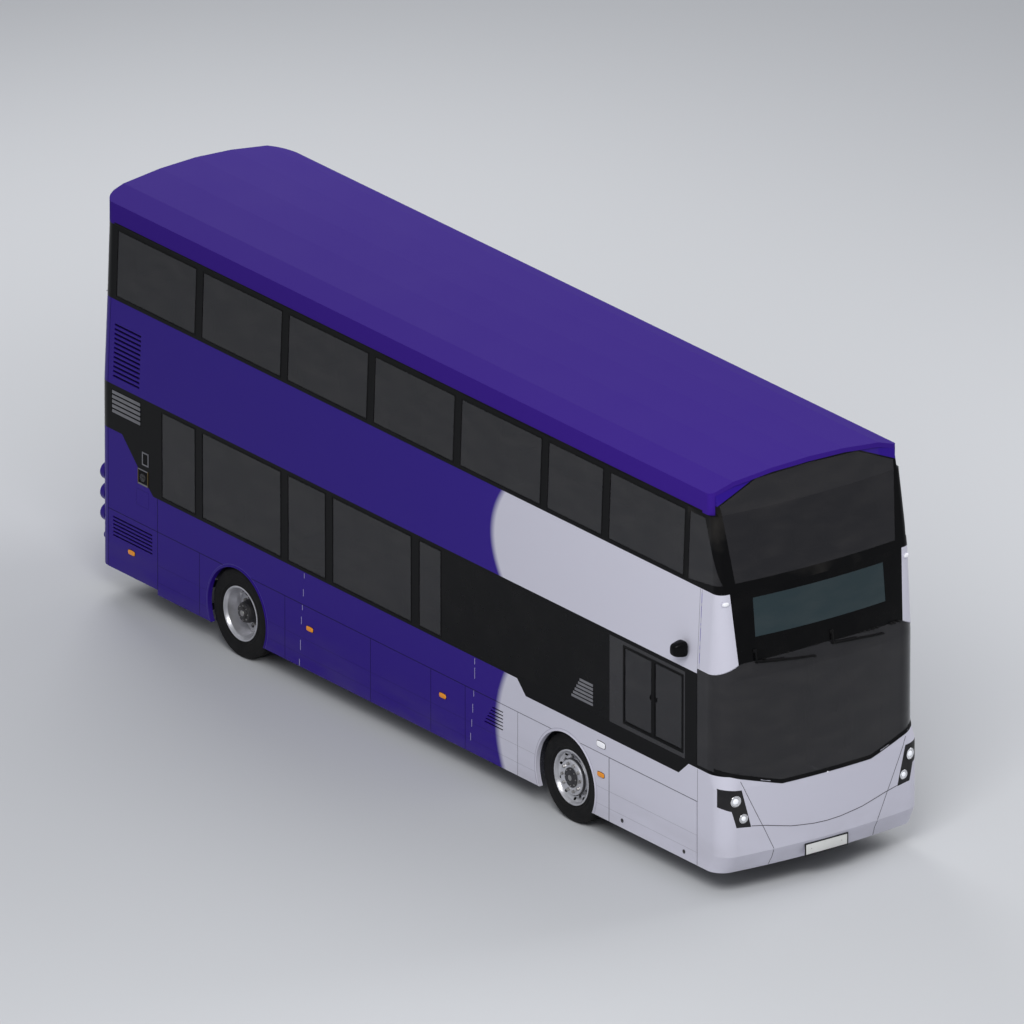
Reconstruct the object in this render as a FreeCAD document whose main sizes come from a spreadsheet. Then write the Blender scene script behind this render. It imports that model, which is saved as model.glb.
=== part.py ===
import FreeCAD, Part
import math
import os
import Sketcher

# Double-deck city bus, 10.8 m long, driver on the right.
# X points to the kerb side, Y to the rear, Z up. The origin is on the ground under the middle.
# Every driving dimension is a cell of the sheet, in millimetres or degrees.

os.makedirs("parts", exist_ok=True)
doc = FreeCAD.newDocument("DoubleDeckBus")
sheet = doc.addObject("Spreadsheet::Sheet", "Sizes")
Vector = FreeCAD.Vector

DIMENSIONS = {
    # the body as a whole: axles from the origin, overhangs from the axles, walls
    "body_width": 2500, "front_axle": 2664, "rear_axle": 2955, "front_overhang": 2736, "rear_overhang": 2415,
    "wall": 45, "side_lean_mid": 43, "side_lean_top": 74,
    # front corners seen from above, from the skirt up to the roof, and the bow of the front
    "low_corner": 190, "screen_corner": 290, "mid_corner": 250, "upper_corner": 105, "top_corner": 70,
    "front_sagitta": 70, "rear_radius": 180,
    # levels, and the heights of what stands on them
    "skirt_z": 255, "tuck_z": 450, "waist_z": 949, "crown_z": 1170, "mid_panel_z": 2333,
    "mid_panel_height": 913, "upper_band_height": 804, "roof_rise": 400, "rear_skirt_z": 310,
    "tuck_back": 90, "rake_mid": 30, "rake_screen": 140, "rake_gutter": 270, "rake_roof": 370,
    # how far the front and rear panels reach along the sides
    "front_panel": 530, "upper_front_panel": 780, "rear_panel": 230,
    # glass, and the strips of body above and below it
    "glass": 6, "glass_inset": 3, "seal": 0.3,
    "lower_glass_z": 1346, "lower_head": 46, "upper_sill": 38, "upper_head": 45,
    "upper_pillar": 108.5, "short_pane": 929, "front_pane": 1271, "upper_end": 36, "upper_bays": 5,
    "solid_clear": 739, "driver_end": 198, "slider_edge": 34, "slider_post": 49, "slider_pane": 474,
    "slider_sill": 57, "slider_head": 48,
    # roof
    "roof_wall": 55, "brow": 45, "post_width": 90,
    # air grilles
    "bar_edge": 18,
    # floors
    "floor_z": 300, "floor_thick": 60, "raised_floor_z": 660, "raised_floor_ahead": 855,
    "upper_floor_thick": 60, "saloon_clear": 760, "bulkhead": 30,
    # stairs, from the front axle
    "stair_ahead": 536, "stair_run": 2500, "well_run": 1850, "stair_width": 650,
    "stair_steps": 10, "stair_thick": 70,
    # wheels and axles
    "tyre_radius": 478.5, "tyre_width": 275, "rim_radius": 286,
    "front_tuck": 197.5, "rear_tuck": 167.5, "twin_pitch": 310, "kingpin_tuck": 317.5, "arch_radius": 500,
    "spindle_radius": 52, "kingpin_radius": 20, "eye_radius": 40, "eye_half": 95, "lug_gap": 6,
    "hole_circle": 207, "hole_radius": 24, "hand_holes": 10,
    "front_box_tuck": 670, "rear_box_tuck": 650, "box_half_length": 600, "box_top_z": 1040,
    "box_sheet": 12,
    # underframe
    "rail_spread": 800, "rail_width": 60, "rail_z": 180, "rail_height": 120,
    # seats
    "seat_width": 880, "seat_pitch": 720, "seat_depth": 430, "seat_height": 430, "seat_back": 560,
    "cushion": 60, "seat_wall_gap": 12, "pole_radius": 17,
    # driver's place
    "steering_radius": 225, "cab_step": 200, "cab_width": 885,
    # lamps and plates
    "lamp_proud": 9, "rear_lamp_proud": 30, "plate_half": 265, "plate_height": 112,
    # entrance door
    "door_setback": 620, "door_clear": 796, "door_head": 83, "jamb": 22, "leaf_thick": 35,
    "leaf_gap": 6, "leaf_end": 30, "post_radius": 18, "post_offset": 60, "arm_thick": 10, "step_lap": 30,
    # covers
    "cover_gap": 6, "hatch_half": 640, "hatch_bottom_z": 420, "hatch_top_z": 1500,
    # engine
    "engine_length": 700, "engine_height": 900,
}

for row, (alias, number) in enumerate(DIMENSIONS.items(), start=1):
    sheet.set(f"A{row}", alias)
    sheet.set(f"B{row}", str(number))
    sheet.setAlias(f"B{row}", alias)
doc.recompute()


class Length:
    """A number together with the sheet expression that gives it."""

    def __init__(self, value, text):
        self.value = float(value)
        self.text = text

    def __add__(self, other):
        other = as_length(other)
        return Length(self.value + other.value, f"({self.text} + {other.text})")

    def __sub__(self, other):
        other = as_length(other)
        return Length(self.value - other.value, f"({self.text} - {other.text})")

    def __mul__(self, other):
        other = as_length(other)
        return Length(self.value * other.value, f"({self.text} * {other.text})")

    def __truediv__(self, other):
        other = as_length(other)
        return Length(self.value / other.value, f"({self.text} / {other.text})")

    def __neg__(self):
        return Length(-self.value, f"(-1 * {self.text})")

    def __radd__(self, other):
        return as_length(other) + self

    def __rsub__(self, other):
        return as_length(other) - self

    def __rmul__(self, other):
        return as_length(other) * self

    def __float__(self):
        return self.value


def as_length(item):
    """A plain number becomes a Length that is its own expression."""
    if isinstance(item, Length):
        return item
    return Length(item, f"({float(item):.6f})")


class Dimensions:
    """Gives each cell of the sheet as a Length, by its alias."""

    def __getattr__(self, alias):
        return Length(DIMENSIONS[alias], f"Sizes.{alias}")


d = Dimensions()

# Reaches, joints and levels that follow from the sizes in the sheet.
half = d.body_width / 2
inside = half - d.wall
front_reach = d.front_axle + d.front_overhang
rear_reach = d.rear_axle + d.rear_overhang
front_joint = front_reach - d.front_panel
upper_front_joint = front_reach - d.upper_front_panel
rear_joint = rear_reach - d.rear_panel
upper_panel_z = d.mid_panel_z + d.mid_panel_height
gutter_z = upper_panel_z + d.upper_band_height
body_height = gutter_z + d.roof_rise
lower_glass_top_z = d.mid_panel_z - d.lower_head
upper_glass_z = upper_panel_z + d.upper_sill
upper_glass_top_z = gutter_z - d.upper_head
roof_haunch_z = body_height - 78
roof_shoulder_z = body_height - 170
upper_floor_z = d.mid_panel_z
floor_step = d.rear_axle - d.raised_floor_ahead
saloon_rear = rear_joint - d.saloon_clear
stair_top = d.front_axle + d.stair_ahead
stair_foot = stair_top - d.stair_run
stair_well_rear = stair_top - d.well_run
door_front = front_reach - d.door_setback
door_rear = d.front_axle + d.door_clear
door_top_z = d.mid_panel_z - d.door_head
front_track = d.body_width - d.front_tuck * 2
rear_track_outer = d.body_width - d.rear_tuck * 2
kingpin_spread = d.body_width - d.kingpin_tuck * 2
front_box_inner = half - d.front_box_tuck
rear_box_inner = half - d.rear_box_tuck
lamp_reach = rear_reach + d.rear_lamp_proud
nodes = {}


def add(kind, name):
    """A new object of the document."""
    return doc.addObject(kind, name)


def bind(item, **lengths):
    """Tie properties to the sheet. A double underscore stands for the dot in a property's path."""
    for key, length in lengths.items():
        item.setExpression(key.replace("__", "."), as_length(length).text)
    return item


def place(item, x=0, y=0, z=0, axis=None, angle=0):
    """Turn an object about an axis through its own origin and tie its place to the sheet."""
    if axis is not None:
        item.Placement = FreeCAD.Placement(Vector(0, 0, 0), FreeCAD.Rotation(Vector(*axis), angle))
    return bind(item, Placement__Base__x=x, Placement__Base__y=y, Placement__Base__z=z)


def box(name, x, y, z):
    """A box between two lengths on each axis."""
    low = [as_length(pair[0]) for pair in (x, y, z)]
    high = [as_length(pair[1]) for pair in (x, y, z)]
    item = add("Part::Box", name)
    bind(item, Length=high[0] - low[0], Width=high[1] - low[1], Height=high[2] - low[2])
    return place(item, *low)


AXES = {"x": ((0, 1, 0), 90), "y": ((1, 0, 0), -90), "z": (None, 0)}


def cylinder(name, radius, along, start, end, centre):
    """A cylinder along x, y or z from start to end. The centre is its place on the other two axes."""
    item = add("Part::Cylinder", name)
    start, end = as_length(start), as_length(end)
    bind(item, Radius=radius, Height=end - start)
    spots = {"x": (start, *centre), "y": (centre[0], start, centre[1]), "z": (*centre, start)}
    axis, angle = AXES[along]
    return place(item, *spots[along], axis=axis, angle=angle)


def boolean(kind, name, base, tool):
    """A cut or a common of two objects."""
    item = add(f"Part::{kind}", name)
    item.Base = base
    item.Tool = tool
    return item


def cut(name, base, *tools):
    """The base with the tools taken away."""
    return boolean("Cut", name, base, tools[0] if len(tools) == 1 else group(f"{name}_tools", tools))


def common(name, base, tool):
    """What two objects share."""
    return boolean("Common", name, base, tool)


def fuse(name, items):
    """Objects joined to one solid."""
    if len(items) == 1:
        return items[0]
    item = add("Part::MultiFuse", name)
    item.Shapes = list(items)
    item.Refine = True
    return item


def group(name, items):
    """Objects kept side by side in one shape."""
    item = add("Part::Compound", name)
    item.Links = list(items)
    return item


def prism(name, along, points, start, end):
    """A closed outline of lengths pushed out along x, y or z.

    The outline is given as (y, z) along x, (x, z) along y and (x, y) along z.
    """
    sketch = add("Sketcher::SketchObject", f"{name}_outline")
    points = [(as_length(a), as_length(b)) for a, b in points]
    count = len(points)
    for index, (a, b) in enumerate(points):
        after = points[(index + 1) % count]
        sketch.addGeometry(Part.LineSegment(Vector(a.value, b.value, 0),
                                            Vector(after[0].value, after[1].value, 0)), False)
    for index in range(count):
        sketch.addConstraint(Sketcher.Constraint("Coincident", index, 2, (index + 1) % count, 1))
    for index, pair in enumerate(points):
        for kind, length in zip(("DistanceX", "DistanceY"), pair):
            number = sketch.addConstraint(Sketcher.Constraint(kind, -1, 1, index, 1, length.value))
            sketch.setExpression(f"Constraints[{number}]", length.text)
    turns = {"x": FreeCAD.Rotation(Vector(1, 1, 1), 120),
             "y": FreeCAD.Rotation(Vector(1, 0, 0), 90), "z": FreeCAD.Rotation()}
    sketch.Placement = FreeCAD.Placement(Vector(0, 0, 0), turns[along])
    start, end = as_length(start), as_length(end)
    place(sketch, **{along: start})
    item = add("Part::Extrusion", name)
    item.Base = sketch
    item.DirMode = "Custom"
    item.Dir = {"x": Vector(1, 0, 0), "y": Vector(0, 1, 0), "z": Vector(0, 0, 1)}[along]
    item.Solid = True
    return bind(item, LengthFwd=end - start)


def feature(name, shape):
    """A shape made by the module's own functions, where no feature of the document fits."""
    item = add("Part::Feature", name)
    item.Shape = shape
    return item


def node(item, name):
    """Name an object as one sub-part of the bus. Its file takes the same name."""
    item.Label = name
    nodes[name] = item
    return item


# The body shell: plan outlines at each height, joined by ruled faces.

def number(length):
    """The plain value of a length."""
    return as_length(length).value


def plan_outline(height, half_width, front, corner, inset):
    """The body's outline seen from above: bowed front, round corners, flat sides and rear."""
    half_width = number(half_width) - inset
    tip = -(number(front) - inset)
    rear = number(rear_reach) - inset
    round_rear = number(d.rear_radius) - inset
    round_front = number(corner) - inset
    shoulder = tip + number(d.front_sagitta)
    inner = half_width - round_front
    slope = math.atan2(2 * number(d.front_sagitta), inner)
    side_y = shoulder + round_front
    middle = Vector(inner + round_front * math.cos(math.radians(40)) * 0.995,
                    side_y - round_front * math.sin(math.radians(40)), height)
    lean = round_front * (1 - math.cos(slope)) * 0.5

    def at(x, y):
        return Vector(x, y, height)

    turn = math.sqrt(0.5)
    rear_mid_x = half_width - round_rear * (1 - turn)
    rear_mid_y = rear - round_rear * (1 - turn)
    edges = [
        Part.Arc(at(-inner, shoulder), at(0, tip), at(inner, shoulder)).toShape(),
        Part.Arc(at(inner, shoulder), at(middle.x, middle.y + lean), at(half_width, side_y)).toShape(),
        Part.LineSegment(at(half_width, side_y), at(half_width, rear - round_rear)).toShape(),
        Part.Arc(at(half_width, rear - round_rear), at(rear_mid_x, rear_mid_y),
                 at(half_width - round_rear, rear)).toShape(),
        Part.LineSegment(at(half_width - round_rear, rear), at(round_rear - half_width, rear)).toShape(),
        Part.Arc(at(round_rear - half_width, rear), at(-rear_mid_x, rear_mid_y),
                 at(-half_width, rear - round_rear)).toShape(),
        Part.LineSegment(at(-half_width, rear - round_rear), at(-half_width, side_y)).toShape(),
        Part.Arc(at(-half_width, side_y), at(-middle.x, middle.y + lean), at(-inner, shoulder)).toShape(),
    ]
    return Part.Wire(edges)


SECTIONS = [
    (d.skirt_z, half, front_reach - d.tuck_back, d.low_corner),
    (d.tuck_z, half, front_reach, d.low_corner),
    (d.crown_z, half, front_reach, d.low_corner),
    (d.lower_glass_z, half, front_reach - d.rake_mid * 0.15, d.screen_corner),
    (d.mid_panel_z, half, front_reach - d.rake_mid, d.mid_corner),
    (upper_panel_z, half - d.side_lean_mid, front_reach - d.rake_screen, d.upper_corner),
    (gutter_z, half - d.side_lean_top, front_reach - d.rake_gutter, d.top_corner),
    (body_height, half - d.side_lean_top, front_reach - d.rake_roof, d.top_corner),
]


def body_loft(name, inset):
    """The whole body as one closed form, set in from the outside by some thickness."""
    item = add("Part::Loft", name)
    item.Sections = [feature(f"{name}_plan_{index}",
                             plan_outline(number(z), width, front, corner, number(inset)))
                     for index, (z, width, front, corner) in enumerate(SECTIONS)]
    item.Solid = True
    item.Ruled = True
    return item


outer_form = body_loft("outer_form", 0)
shell = cut("shell", outer_form, body_loft("inner_form", d.wall))
room_form = body_loft("room_form", d.wall + d.seal)
behind_glass = body_loft("behind_glass", d.glass_inset + d.glass + d.seal)
glass_shell = cut("glass_shell", body_loft("glass_outside", d.glass_inset),
                  body_loft("glass_inside", d.glass_inset + d.glass))

SIDES = {"offside": (-half - 100, -half + 150), "nearside": (half - 150, half + 100)}
ALL_X = (-half - 100, half + 100)
FRONT = -front_reach - 200
REAR = rear_reach + 100

# Windows along the sides: rear and front ends of each pane.
LOWER_PANES = [(d.rear_axle + low, d.rear_axle + high) for low, high in
               ((720, 1306), (-758, 605), (-1525, -872), (-2994, -1639), (-3500, -3119))]
solid_front = -d.front_axle - d.solid_clear
SOLID_PANE = (solid_front, LOWER_PANES[-1][0])
DRIVER_PANE = (-front_joint + d.driver_end, solid_front)
upper_rear_end = rear_joint - d.upper_end
upper_front_end = d.upper_end - upper_front_joint
upper_bay = (upper_rear_end - upper_front_end - d.short_pane - d.front_pane - d.upper_pillar) / d.upper_bays
UPPER_PANES = [(upper_rear_end - upper_bay * (index + 1) + d.upper_pillar,
                upper_rear_end - upper_bay * index) for index in range(DIMENSIONS["upper_bays"])]
UPPER_PANES.append((UPPER_PANES[-1][0] - d.upper_pillar - d.short_pane, UPPER_PANES[-1][0] - d.upper_pillar))
UPPER_PANES.append((upper_front_end, UPPER_PANES[-1][0] - d.upper_pillar))


def pane_boxes(name, spans, x, z, edge):
    """One box for each pane, made smaller by an edge all round."""
    return [box(f"{name}_{index}", x, (as_length(low) + edge, as_length(high) - edge),
                (z[0] + edge, z[1] - edge)) for index, (low, high) in enumerate(spans)]


def wheel_arch(name, side, y):
    """The round opening in the body side at a wheel."""
    return cylinder(name, d.arch_radius, "x", SIDES[side][0], SIDES[side][1], (y, d.tyre_radius))


arches = {side: [wheel_arch(f"{side}_front_arch", side, -d.front_axle),
                 wheel_arch(f"{side}_rear_arch", side, d.rear_axle)] for side in SIDES}

flap_rear = solid_front + 7
flap_y = (-front_joint + d.cover_gap, flap_rear - d.cover_gap)
flap_z = (d.skirt_z, d.waist_z - d.cover_gap)
door_y = (-door_front + d.jamb, -door_rear - d.jamb)
door_hole = box("door_hole", SIDES["nearside"], door_y, (d.skirt_z - 50, door_top_z))
rear_lift = box("rear_lift", ALL_X, (saloon_rear - 47, REAR), (0, d.rear_skirt_z))
JOINTS_Z = [("skirt", d.skirt_z, d.waist_z), ("lower_side", d.waist_z, d.mid_panel_z),
            ("mid_panel", d.mid_panel_z, upper_panel_z), ("upper_side", upper_panel_z, gutter_z)]
lower_glass = (d.lower_glass_z, lower_glass_top_z)
upper_glass = (upper_glass_z, upper_glass_top_z)


# Air grilles in the driver's side: outline (y, z), number of bars, and the panel that holds each.
louvre_end = rear_joint - 15


def louvre_outline(front, bottom, top, rear=louvre_end, lean=0):
    """A grille's outline seen from the side. Its front edge can lean."""
    return ((front, bottom), (rear, bottom), (as_length(rear) - lean, top), (front, top))


LOUVRES = {
    "upper_rear": (louvre_outline(rear_joint - 509, d.mid_panel_z + 57, upper_panel_z - 226), 12, "mid_panel"),
    "middle_rear": (louvre_outline(rear_joint - 526, d.mid_panel_z - 317, d.mid_panel_z - 56), 5,
                    "lower_side"),
    "lower_rear": (louvre_outline(rear_joint - 733, d.waist_z - 302, d.waist_z - 41), 6, "skirt"),
    "battery": (louvre_outline(-d.front_axle + 1046, d.waist_z - 309, d.waist_z - 59,
                               -d.front_axle + 1401, 174), 6, "skirt"),
}


def louvre_holes(side, panel):
    """The openings that the grilles of one panel sit in."""
    if side == "nearside":
        return []
    return [prism(f"{name}_louvre_hole", "x", outline, *SIDES[side])
            for name, (outline, bars, holder) in LOUVRES.items() if holder == panel]


def louvre(name, outline, bars):
    """A grille flush with the side: a plate with level slots between its bars."""
    x = SIDES["offside"]
    plate = common(f"{name}_louvre_plate", shell, prism(f"{name}_louvre_body", "x", outline, *x))
    (front, low), (rear, high) = outline[0], (outline[1][0], outline[2][1])
    pitch = (high - low) / (bars + 0.5)
    slots = [box(f"{name}_slot_{index}", (x[0], -half + 25 + lean_at(high)),
                 (front + d.bar_edge, rear - d.bar_edge),
                 (low + pitch * (index + 0.5), low + pitch * (index + 0.95))) for index in range(bars)]
    return cut(f"{name}_louvre", plate, *slots)


def lean_at(z):
    """How far the side leans in at a height above the lower deck."""
    share = max(0.0, number(z - d.mid_panel_z) / number(d.mid_panel_height))
    return d.side_lean_mid * share


for side, x in SIDES.items():
    driver_spans = [SOLID_PANE] + ([DRIVER_PANE] if side == "offside" else [])
    holes = {
        "skirt": arches[side],
        "lower_side": arches[side] + pane_boxes(f"{side}_lower_hole", LOWER_PANES + driver_spans, x,
                                                lower_glass, 0),
        "mid_panel": [],
        "upper_side": pane_boxes(f"{side}_upper_hole", UPPER_PANES, x, upper_glass, 0),
    }
    if side == "offside":
        holes["skirt"] = holes["skirt"] + [
            box("flap_hole", x, (-front_joint - 10, flap_rear), (d.skirt_z - 10, d.waist_z + 10))]
    else:
        holes["skirt"] = holes["skirt"] + [door_hole]
        holes["lower_side"] = holes["lower_side"] + [door_hole]
    holes["skirt"] = holes["skirt"] + [rear_lift] + louvre_holes(side, "skirt")
    for part_name in ("lower_side", "mid_panel"):
        holes[part_name] = holes[part_name] + louvre_holes(side, part_name)
    for part_name, low, high in JOINTS_Z:
        front = upper_front_joint if part_name == "upper_side" else front_joint
        slab = common(f"{side}_{part_name}_slab", shell,
                      box(f"{side}_{part_name}_box", x, (-front, rear_joint), (low, high)))
        if holes[part_name]:
            slab = cut(f"{side}_{part_name}_cut", slab, fuse(f"{side}_{part_name}_holes",
                                                            holes[part_name]))
        node(slab, f"{side}_{part_name}")

flap = common("flap_slab", shell, box("flap_box", SIDES["offside"], flap_y, flap_z))
node(flap, "offside_service_flap")
node(group("louvres", [louvre(name, outline, bars) for name, (outline, bars, holder)
                       in LOUVRES.items()]), "side_louvres")


def both_sides(sign, low, high):
    """A pair of lengths on the driver's side or the kerb side, in rising order."""
    low, high = as_length(low), as_length(high)
    return (-high, -low) if sign < 0 else (low, high)


def mirrored(points):
    """A half outline from the middle line out, and its mirror image, as one closed outline."""
    points = [(as_length(x), as_length(z)) for x, z in points]
    return [(-x, z) for x, z in reversed(points) if x.value > 0.001] + points


def front_prism(name, outline, y=None):
    """An outline seen from the front, pushed through the front of the body."""
    return prism(name, "y", outline, *(y or (FRONT, -upper_front_joint)))


# Front of the lower deck: windscreen, its frame and the panel with the headlamps.
screen_sill_z = d.lower_glass_z + 9
screen_outline = [(-half - 60, screen_sill_z), (270 - half, 1296), (490 - half, 1217), (690 - half, 1168),
                  (half - 690, 1168), (half - 490, 1217), (half - 270, 1296), (half + 60, screen_sill_z),
                  (half + 60, d.mid_panel_z + 35), (half + 6, d.mid_panel_z + 48),
                  (half - 250, d.mid_panel_z + 177), (0, d.mid_panel_z + 199),
                  (250 - half, d.mid_panel_z + 177), (-half - 6, d.mid_panel_z + 48),
                  (-half - 60, d.mid_panel_z + 35)]
screen_hole = front_prism("lower_screen_hole", screen_outline, (FRONT, -front_joint))
HEADLAMP = [(half - 10, 1185), (half - 220, 1162), (half - 330, 745), (half - 160, 764),
            (half - 110, 946), (half - 75, 957), (half - 10, 985)]
lamp_holes = [front_prism(f"headlamp_hole_{sign}", [(sign * x, z) for x, z in HEADLAMP],
                          (FRONT, -front_joint - 60)) for sign in (-1, 1)]


def front_slab(name, low, high, joint):
    """The part of the shell ahead of a joint, between two heights."""
    return common(name, shell, box(f"{name}_box", ALL_X, (FRONT, -joint), (low, high)))


node(cut("front_lower_cut", front_slab("front_lower_slab", d.skirt_z, screen_sill_z, front_joint),
         screen_hole, *lamp_holes), "front_lower_panel")
node(common("lower_screen", glass_shell,
            front_prism("lower_screen_edge", screen_outline, (FRONT, -front_joint - d.seal))),
     "lower_windscreen")

# Front between the decks: black display panel between pale corner mouldings.
black_zone = [(0, d.mid_panel_z - 33), (half - 230, d.mid_panel_z - 33), (half - 170, upper_panel_z),
              (half - 170, upper_panel_z + 54), (0, upper_panel_z + 54)]
display_x = half - 430
display_z = (upper_panel_z - 492, upper_panel_z - 82)
display_outline = mirrored([(0, display_z[0]), (display_x, display_z[0]), (display_x, display_z[1]),
                            (0, display_z[1])])
between = cut("between_decks_cut", front_slab("between_decks_slab", d.mid_panel_z, upper_panel_z,
                                              front_joint), screen_hole)
zone = front_prism("black_zone", mirrored(black_zone))
display_hole = front_prism("display_hole", display_outline)
node(cut("display_panel_cut", common("display_panel_slab", between, zone), display_hole),
     "front_display_panel")
posts = [box(f"screen_post_{sign}", both_sides(sign, inside - d.post_width, half),
             (-front_joint - d.post_width, -front_joint), (screen_sill_z, d.mid_panel_z + 147)) for sign in (-1, 1)]
node(fuse("corner_mouldings_joined", [cut("corner_mouldings_cut", between, zone),
                                      *[common(f"post_inside_{index}", post, behind_glass)
                                        for index, post in enumerate(posts)]]),
     "front_corner_mouldings")
node(common("display_glass", glass_shell,
            front_prism("display_edge", mirrored([(0, display_z[0] + d.seal),
                                                  (display_x - d.seal, display_z[0] + d.seal),
                                                  (display_x - d.seal, display_z[1] - d.seal),
                                                  (0, display_z[1] - d.seal)]))), "destination_glass")

# Roof: one facetted crown over both decks, with a brow over the upper windscreen.
roof_profile = mirrored([(0, body_height), (half - 800, body_height - 20), (half - 340, roof_haunch_z),
                         (half - d.side_lean_top, roof_shoulder_z), (half - d.side_lean_top, gutter_z)])
roof_inside = mirrored([(0, body_height - d.roof_wall), (half - 800, body_height - d.roof_wall - 13),
                        (half - 352, roof_haunch_z - d.roof_wall + 5),
                        (half - d.side_lean_top - d.roof_wall, roof_shoulder_z - d.roof_wall / 2),
                        (half - d.side_lean_top - d.roof_wall, gutter_z)])
roof_y = (FRONT, REAR)
roof_plan = feature("roof_plan", plan_outline(number(gutter_z), half - d.side_lean_top + 1,
                                              front_reach - d.rake_roof + d.brow,
                                              d.top_corner + 10, 0))
roof_column = bind(add("Part::Extrusion", "roof_column"), LengthFwd=body_height - gutter_z + 50)
roof_column.Base = roof_plan
roof_column.Dir = Vector(0, 0, 1)
roof_column.DirMode = "Custom"
roof_column.Solid = True
under_roof = prism("under_roof", "y", roof_inside, *roof_y)
node(cut("roof_cut", common("roof_slab", prism("roof_body", "y", roof_profile, *roof_y), roof_column),
         under_roof), "roof")

# Front of the upper deck: frame, wide windscreen and a window round each corner.
upper_screen_z = upper_panel_z + 95
upper_outline = mirrored([(0, upper_screen_z), (half - 243, upper_screen_z), (half - 159, gutter_z + 100),
                          (half - 613, body_height - 104), (0, body_height - 76)])
upper_hole = front_prism("upper_screen_hole", upper_outline, (FRONT, -upper_front_joint - 200))
corner_rear = -upper_front_joint - 39
corner_outline = [(corner_rear, upper_glass_z), (corner_rear - 506, upper_screen_z),
                  (corner_rear - 253, upper_glass_top_z), (corner_rear, upper_glass_top_z)]
corner_holes = {side: prism(f"{side}_corner_hole", "x", corner_outline, *x) for side, x in SIDES.items()}
low_part = front_slab("upper_front_low", upper_panel_z, gutter_z, upper_front_joint)
high_part = common("upper_front_high", front_slab("upper_front_top", gutter_z, body_height,
                                                  upper_front_joint), under_roof)
node(cut("upper_front_cut", fuse("upper_front", [low_part, high_part]),
         upper_hole, *corner_holes.values()), "front_upper_frame")
node(common("upper_screen", glass_shell, upper_hole), "upper_windscreen")

# Rear: lower panel round the engine hatch, upper panel round the emergency window.
hatch_x = (-d.hatch_half, d.hatch_half)
hatch_z = (d.hatch_bottom_z, d.hatch_top_z)
hatch_hole = box("hatch_hole", hatch_x, (rear_joint, REAR), hatch_z)
rear_window_box = ((470 - half, half - 470), (rear_joint, REAR), (upper_panel_z + 84, gutter_z - 90))
rear_hole = box("rear_window_hole", *rear_window_box)


def rear_slab(name, low, high):
    """The part of the shell behind the rear joint, between two heights."""
    return common(name, shell, box(f"{name}_box", ALL_X, (rear_joint, REAR), (low, high)))


lid_hinge = (rear_reach + 13, d.hatch_top_z - d.cover_gap / 2)
fixed_leaves = []
lid_leaves = []
lid_bores = []
for index, x in enumerate((200 - d.hatch_half, d.hatch_half - 200)):
    for end, start in (("left", x - 46), ("right", x + 22)):
        fixed_leaves.append(cylinder(f"hinge_{index}_{end}", 10, "x", start, start + 24, lid_hinge))
        fixed_leaves.append(box(f"hinge_leaf_{index}_{end}", (start, start + 24),
                                (rear_reach - 5, lid_hinge[0]), (lid_hinge[1] + 3, lid_hinge[1] + 34)))
    fixed_leaves.append(cylinder(f"hinge_pin_{index}", 5, "x", x - 46, x + 46, lid_hinge))
    lid_leaves.append(cylinder(f"lid_barrel_{index}", 10, "x", x - 20, x + 20, lid_hinge))
    lid_leaves.append(box(f"lid_leaf_{index}", (x - 20, x + 20), (rear_reach - 5, lid_hinge[0]),
                          (lid_hinge[1] - 34, lid_hinge[1] - 3)))
    lid_bores.append(cylinder(f"lid_bore_{index}", 5 + d.seal, "x", x - 50, x + 50, lid_hinge))
node(fuse("rear_lower_joined", [cut("rear_lower_cut", rear_slab("rear_lower_slab", d.rear_skirt_z,
                                                                 d.mid_panel_z), hatch_hole)]
          + fixed_leaves), "rear_lower_panel")
rear_top = common("rear_top", rear_slab("rear_high_slab", gutter_z, body_height), under_roof)
node(cut("rear_upper_cut", fuse("rear_upper", [rear_slab("rear_mid_slab", d.mid_panel_z, gutter_z),
                                              rear_top]), rear_hole), "rear_upper_panel")
hatch_slab = common("hatch_slab", shell,
                    box("hatch_box", (hatch_x[0] + d.cover_gap, hatch_x[1] - d.cover_gap),
                        (rear_joint, REAR), (hatch_z[0] + d.cover_gap, hatch_z[1] - d.cover_gap)))
node(cut("hatch_cut", fuse("hatch_joined", [hatch_slab] + lid_leaves), *lid_bores), "engine_hatch")
(x0, x1), rear_y, (z0, z1) = rear_window_box
rear_pane = box("rear_pane_box", (x0 + d.seal, x1 - d.seal), rear_y, (z0 + d.seal, z1 - d.seal))

# Window panes, flush in their openings.
lower_panes = []
upper_panes = [common("rear_pane", glass_shell, rear_pane)]
for side, x in SIDES.items():
    spans = LOWER_PANES + ([] if side == "offside" else [SOLID_PANE])
    lower_panes += pane_boxes(f"{side}_lower_pane", spans, x, lower_glass, d.seal)
    upper_panes += [common(f"{side}_upper_glass", glass_shell,
                           group(f"{side}_upper_boxes", pane_boxes(f"{side}_upper_pane", UPPER_PANES, x,
                                                                   upper_glass, d.seal)))]
    upper_panes += [common(f"{side}_corner_glass", glass_shell, corner_holes[side])]
inner_z = (d.lower_glass_z + d.slider_sill, lower_glass_top_z - d.slider_head)
slider_front = DRIVER_PANE[0] + d.slider_edge
slider_spans = [(slider_front, slider_front + d.slider_pane),
                (slider_front + d.slider_pane + d.slider_post, slider_front + d.slider_pane * 2 + d.slider_post)]
driver_holes = pane_boxes("driver_hole", slider_spans, SIDES["offside"], inner_z, 0)
driver_panes = pane_boxes("driver_pane", slider_spans, SIDES["offside"], inner_z, d.seal)
x = SIDES["offside"]
driver_body = pane_boxes("driver_frame_body", [DRIVER_PANE], x, lower_glass, d.seal)[0]
node(cut("driver_frame_cut", common("driver_frame_slab", shell, driver_body), *driver_holes),
     "driver_window_frame")
stair_body = pane_boxes("stair_panel_body", [SOLID_PANE], x, lower_glass, d.seal)[0]
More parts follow.
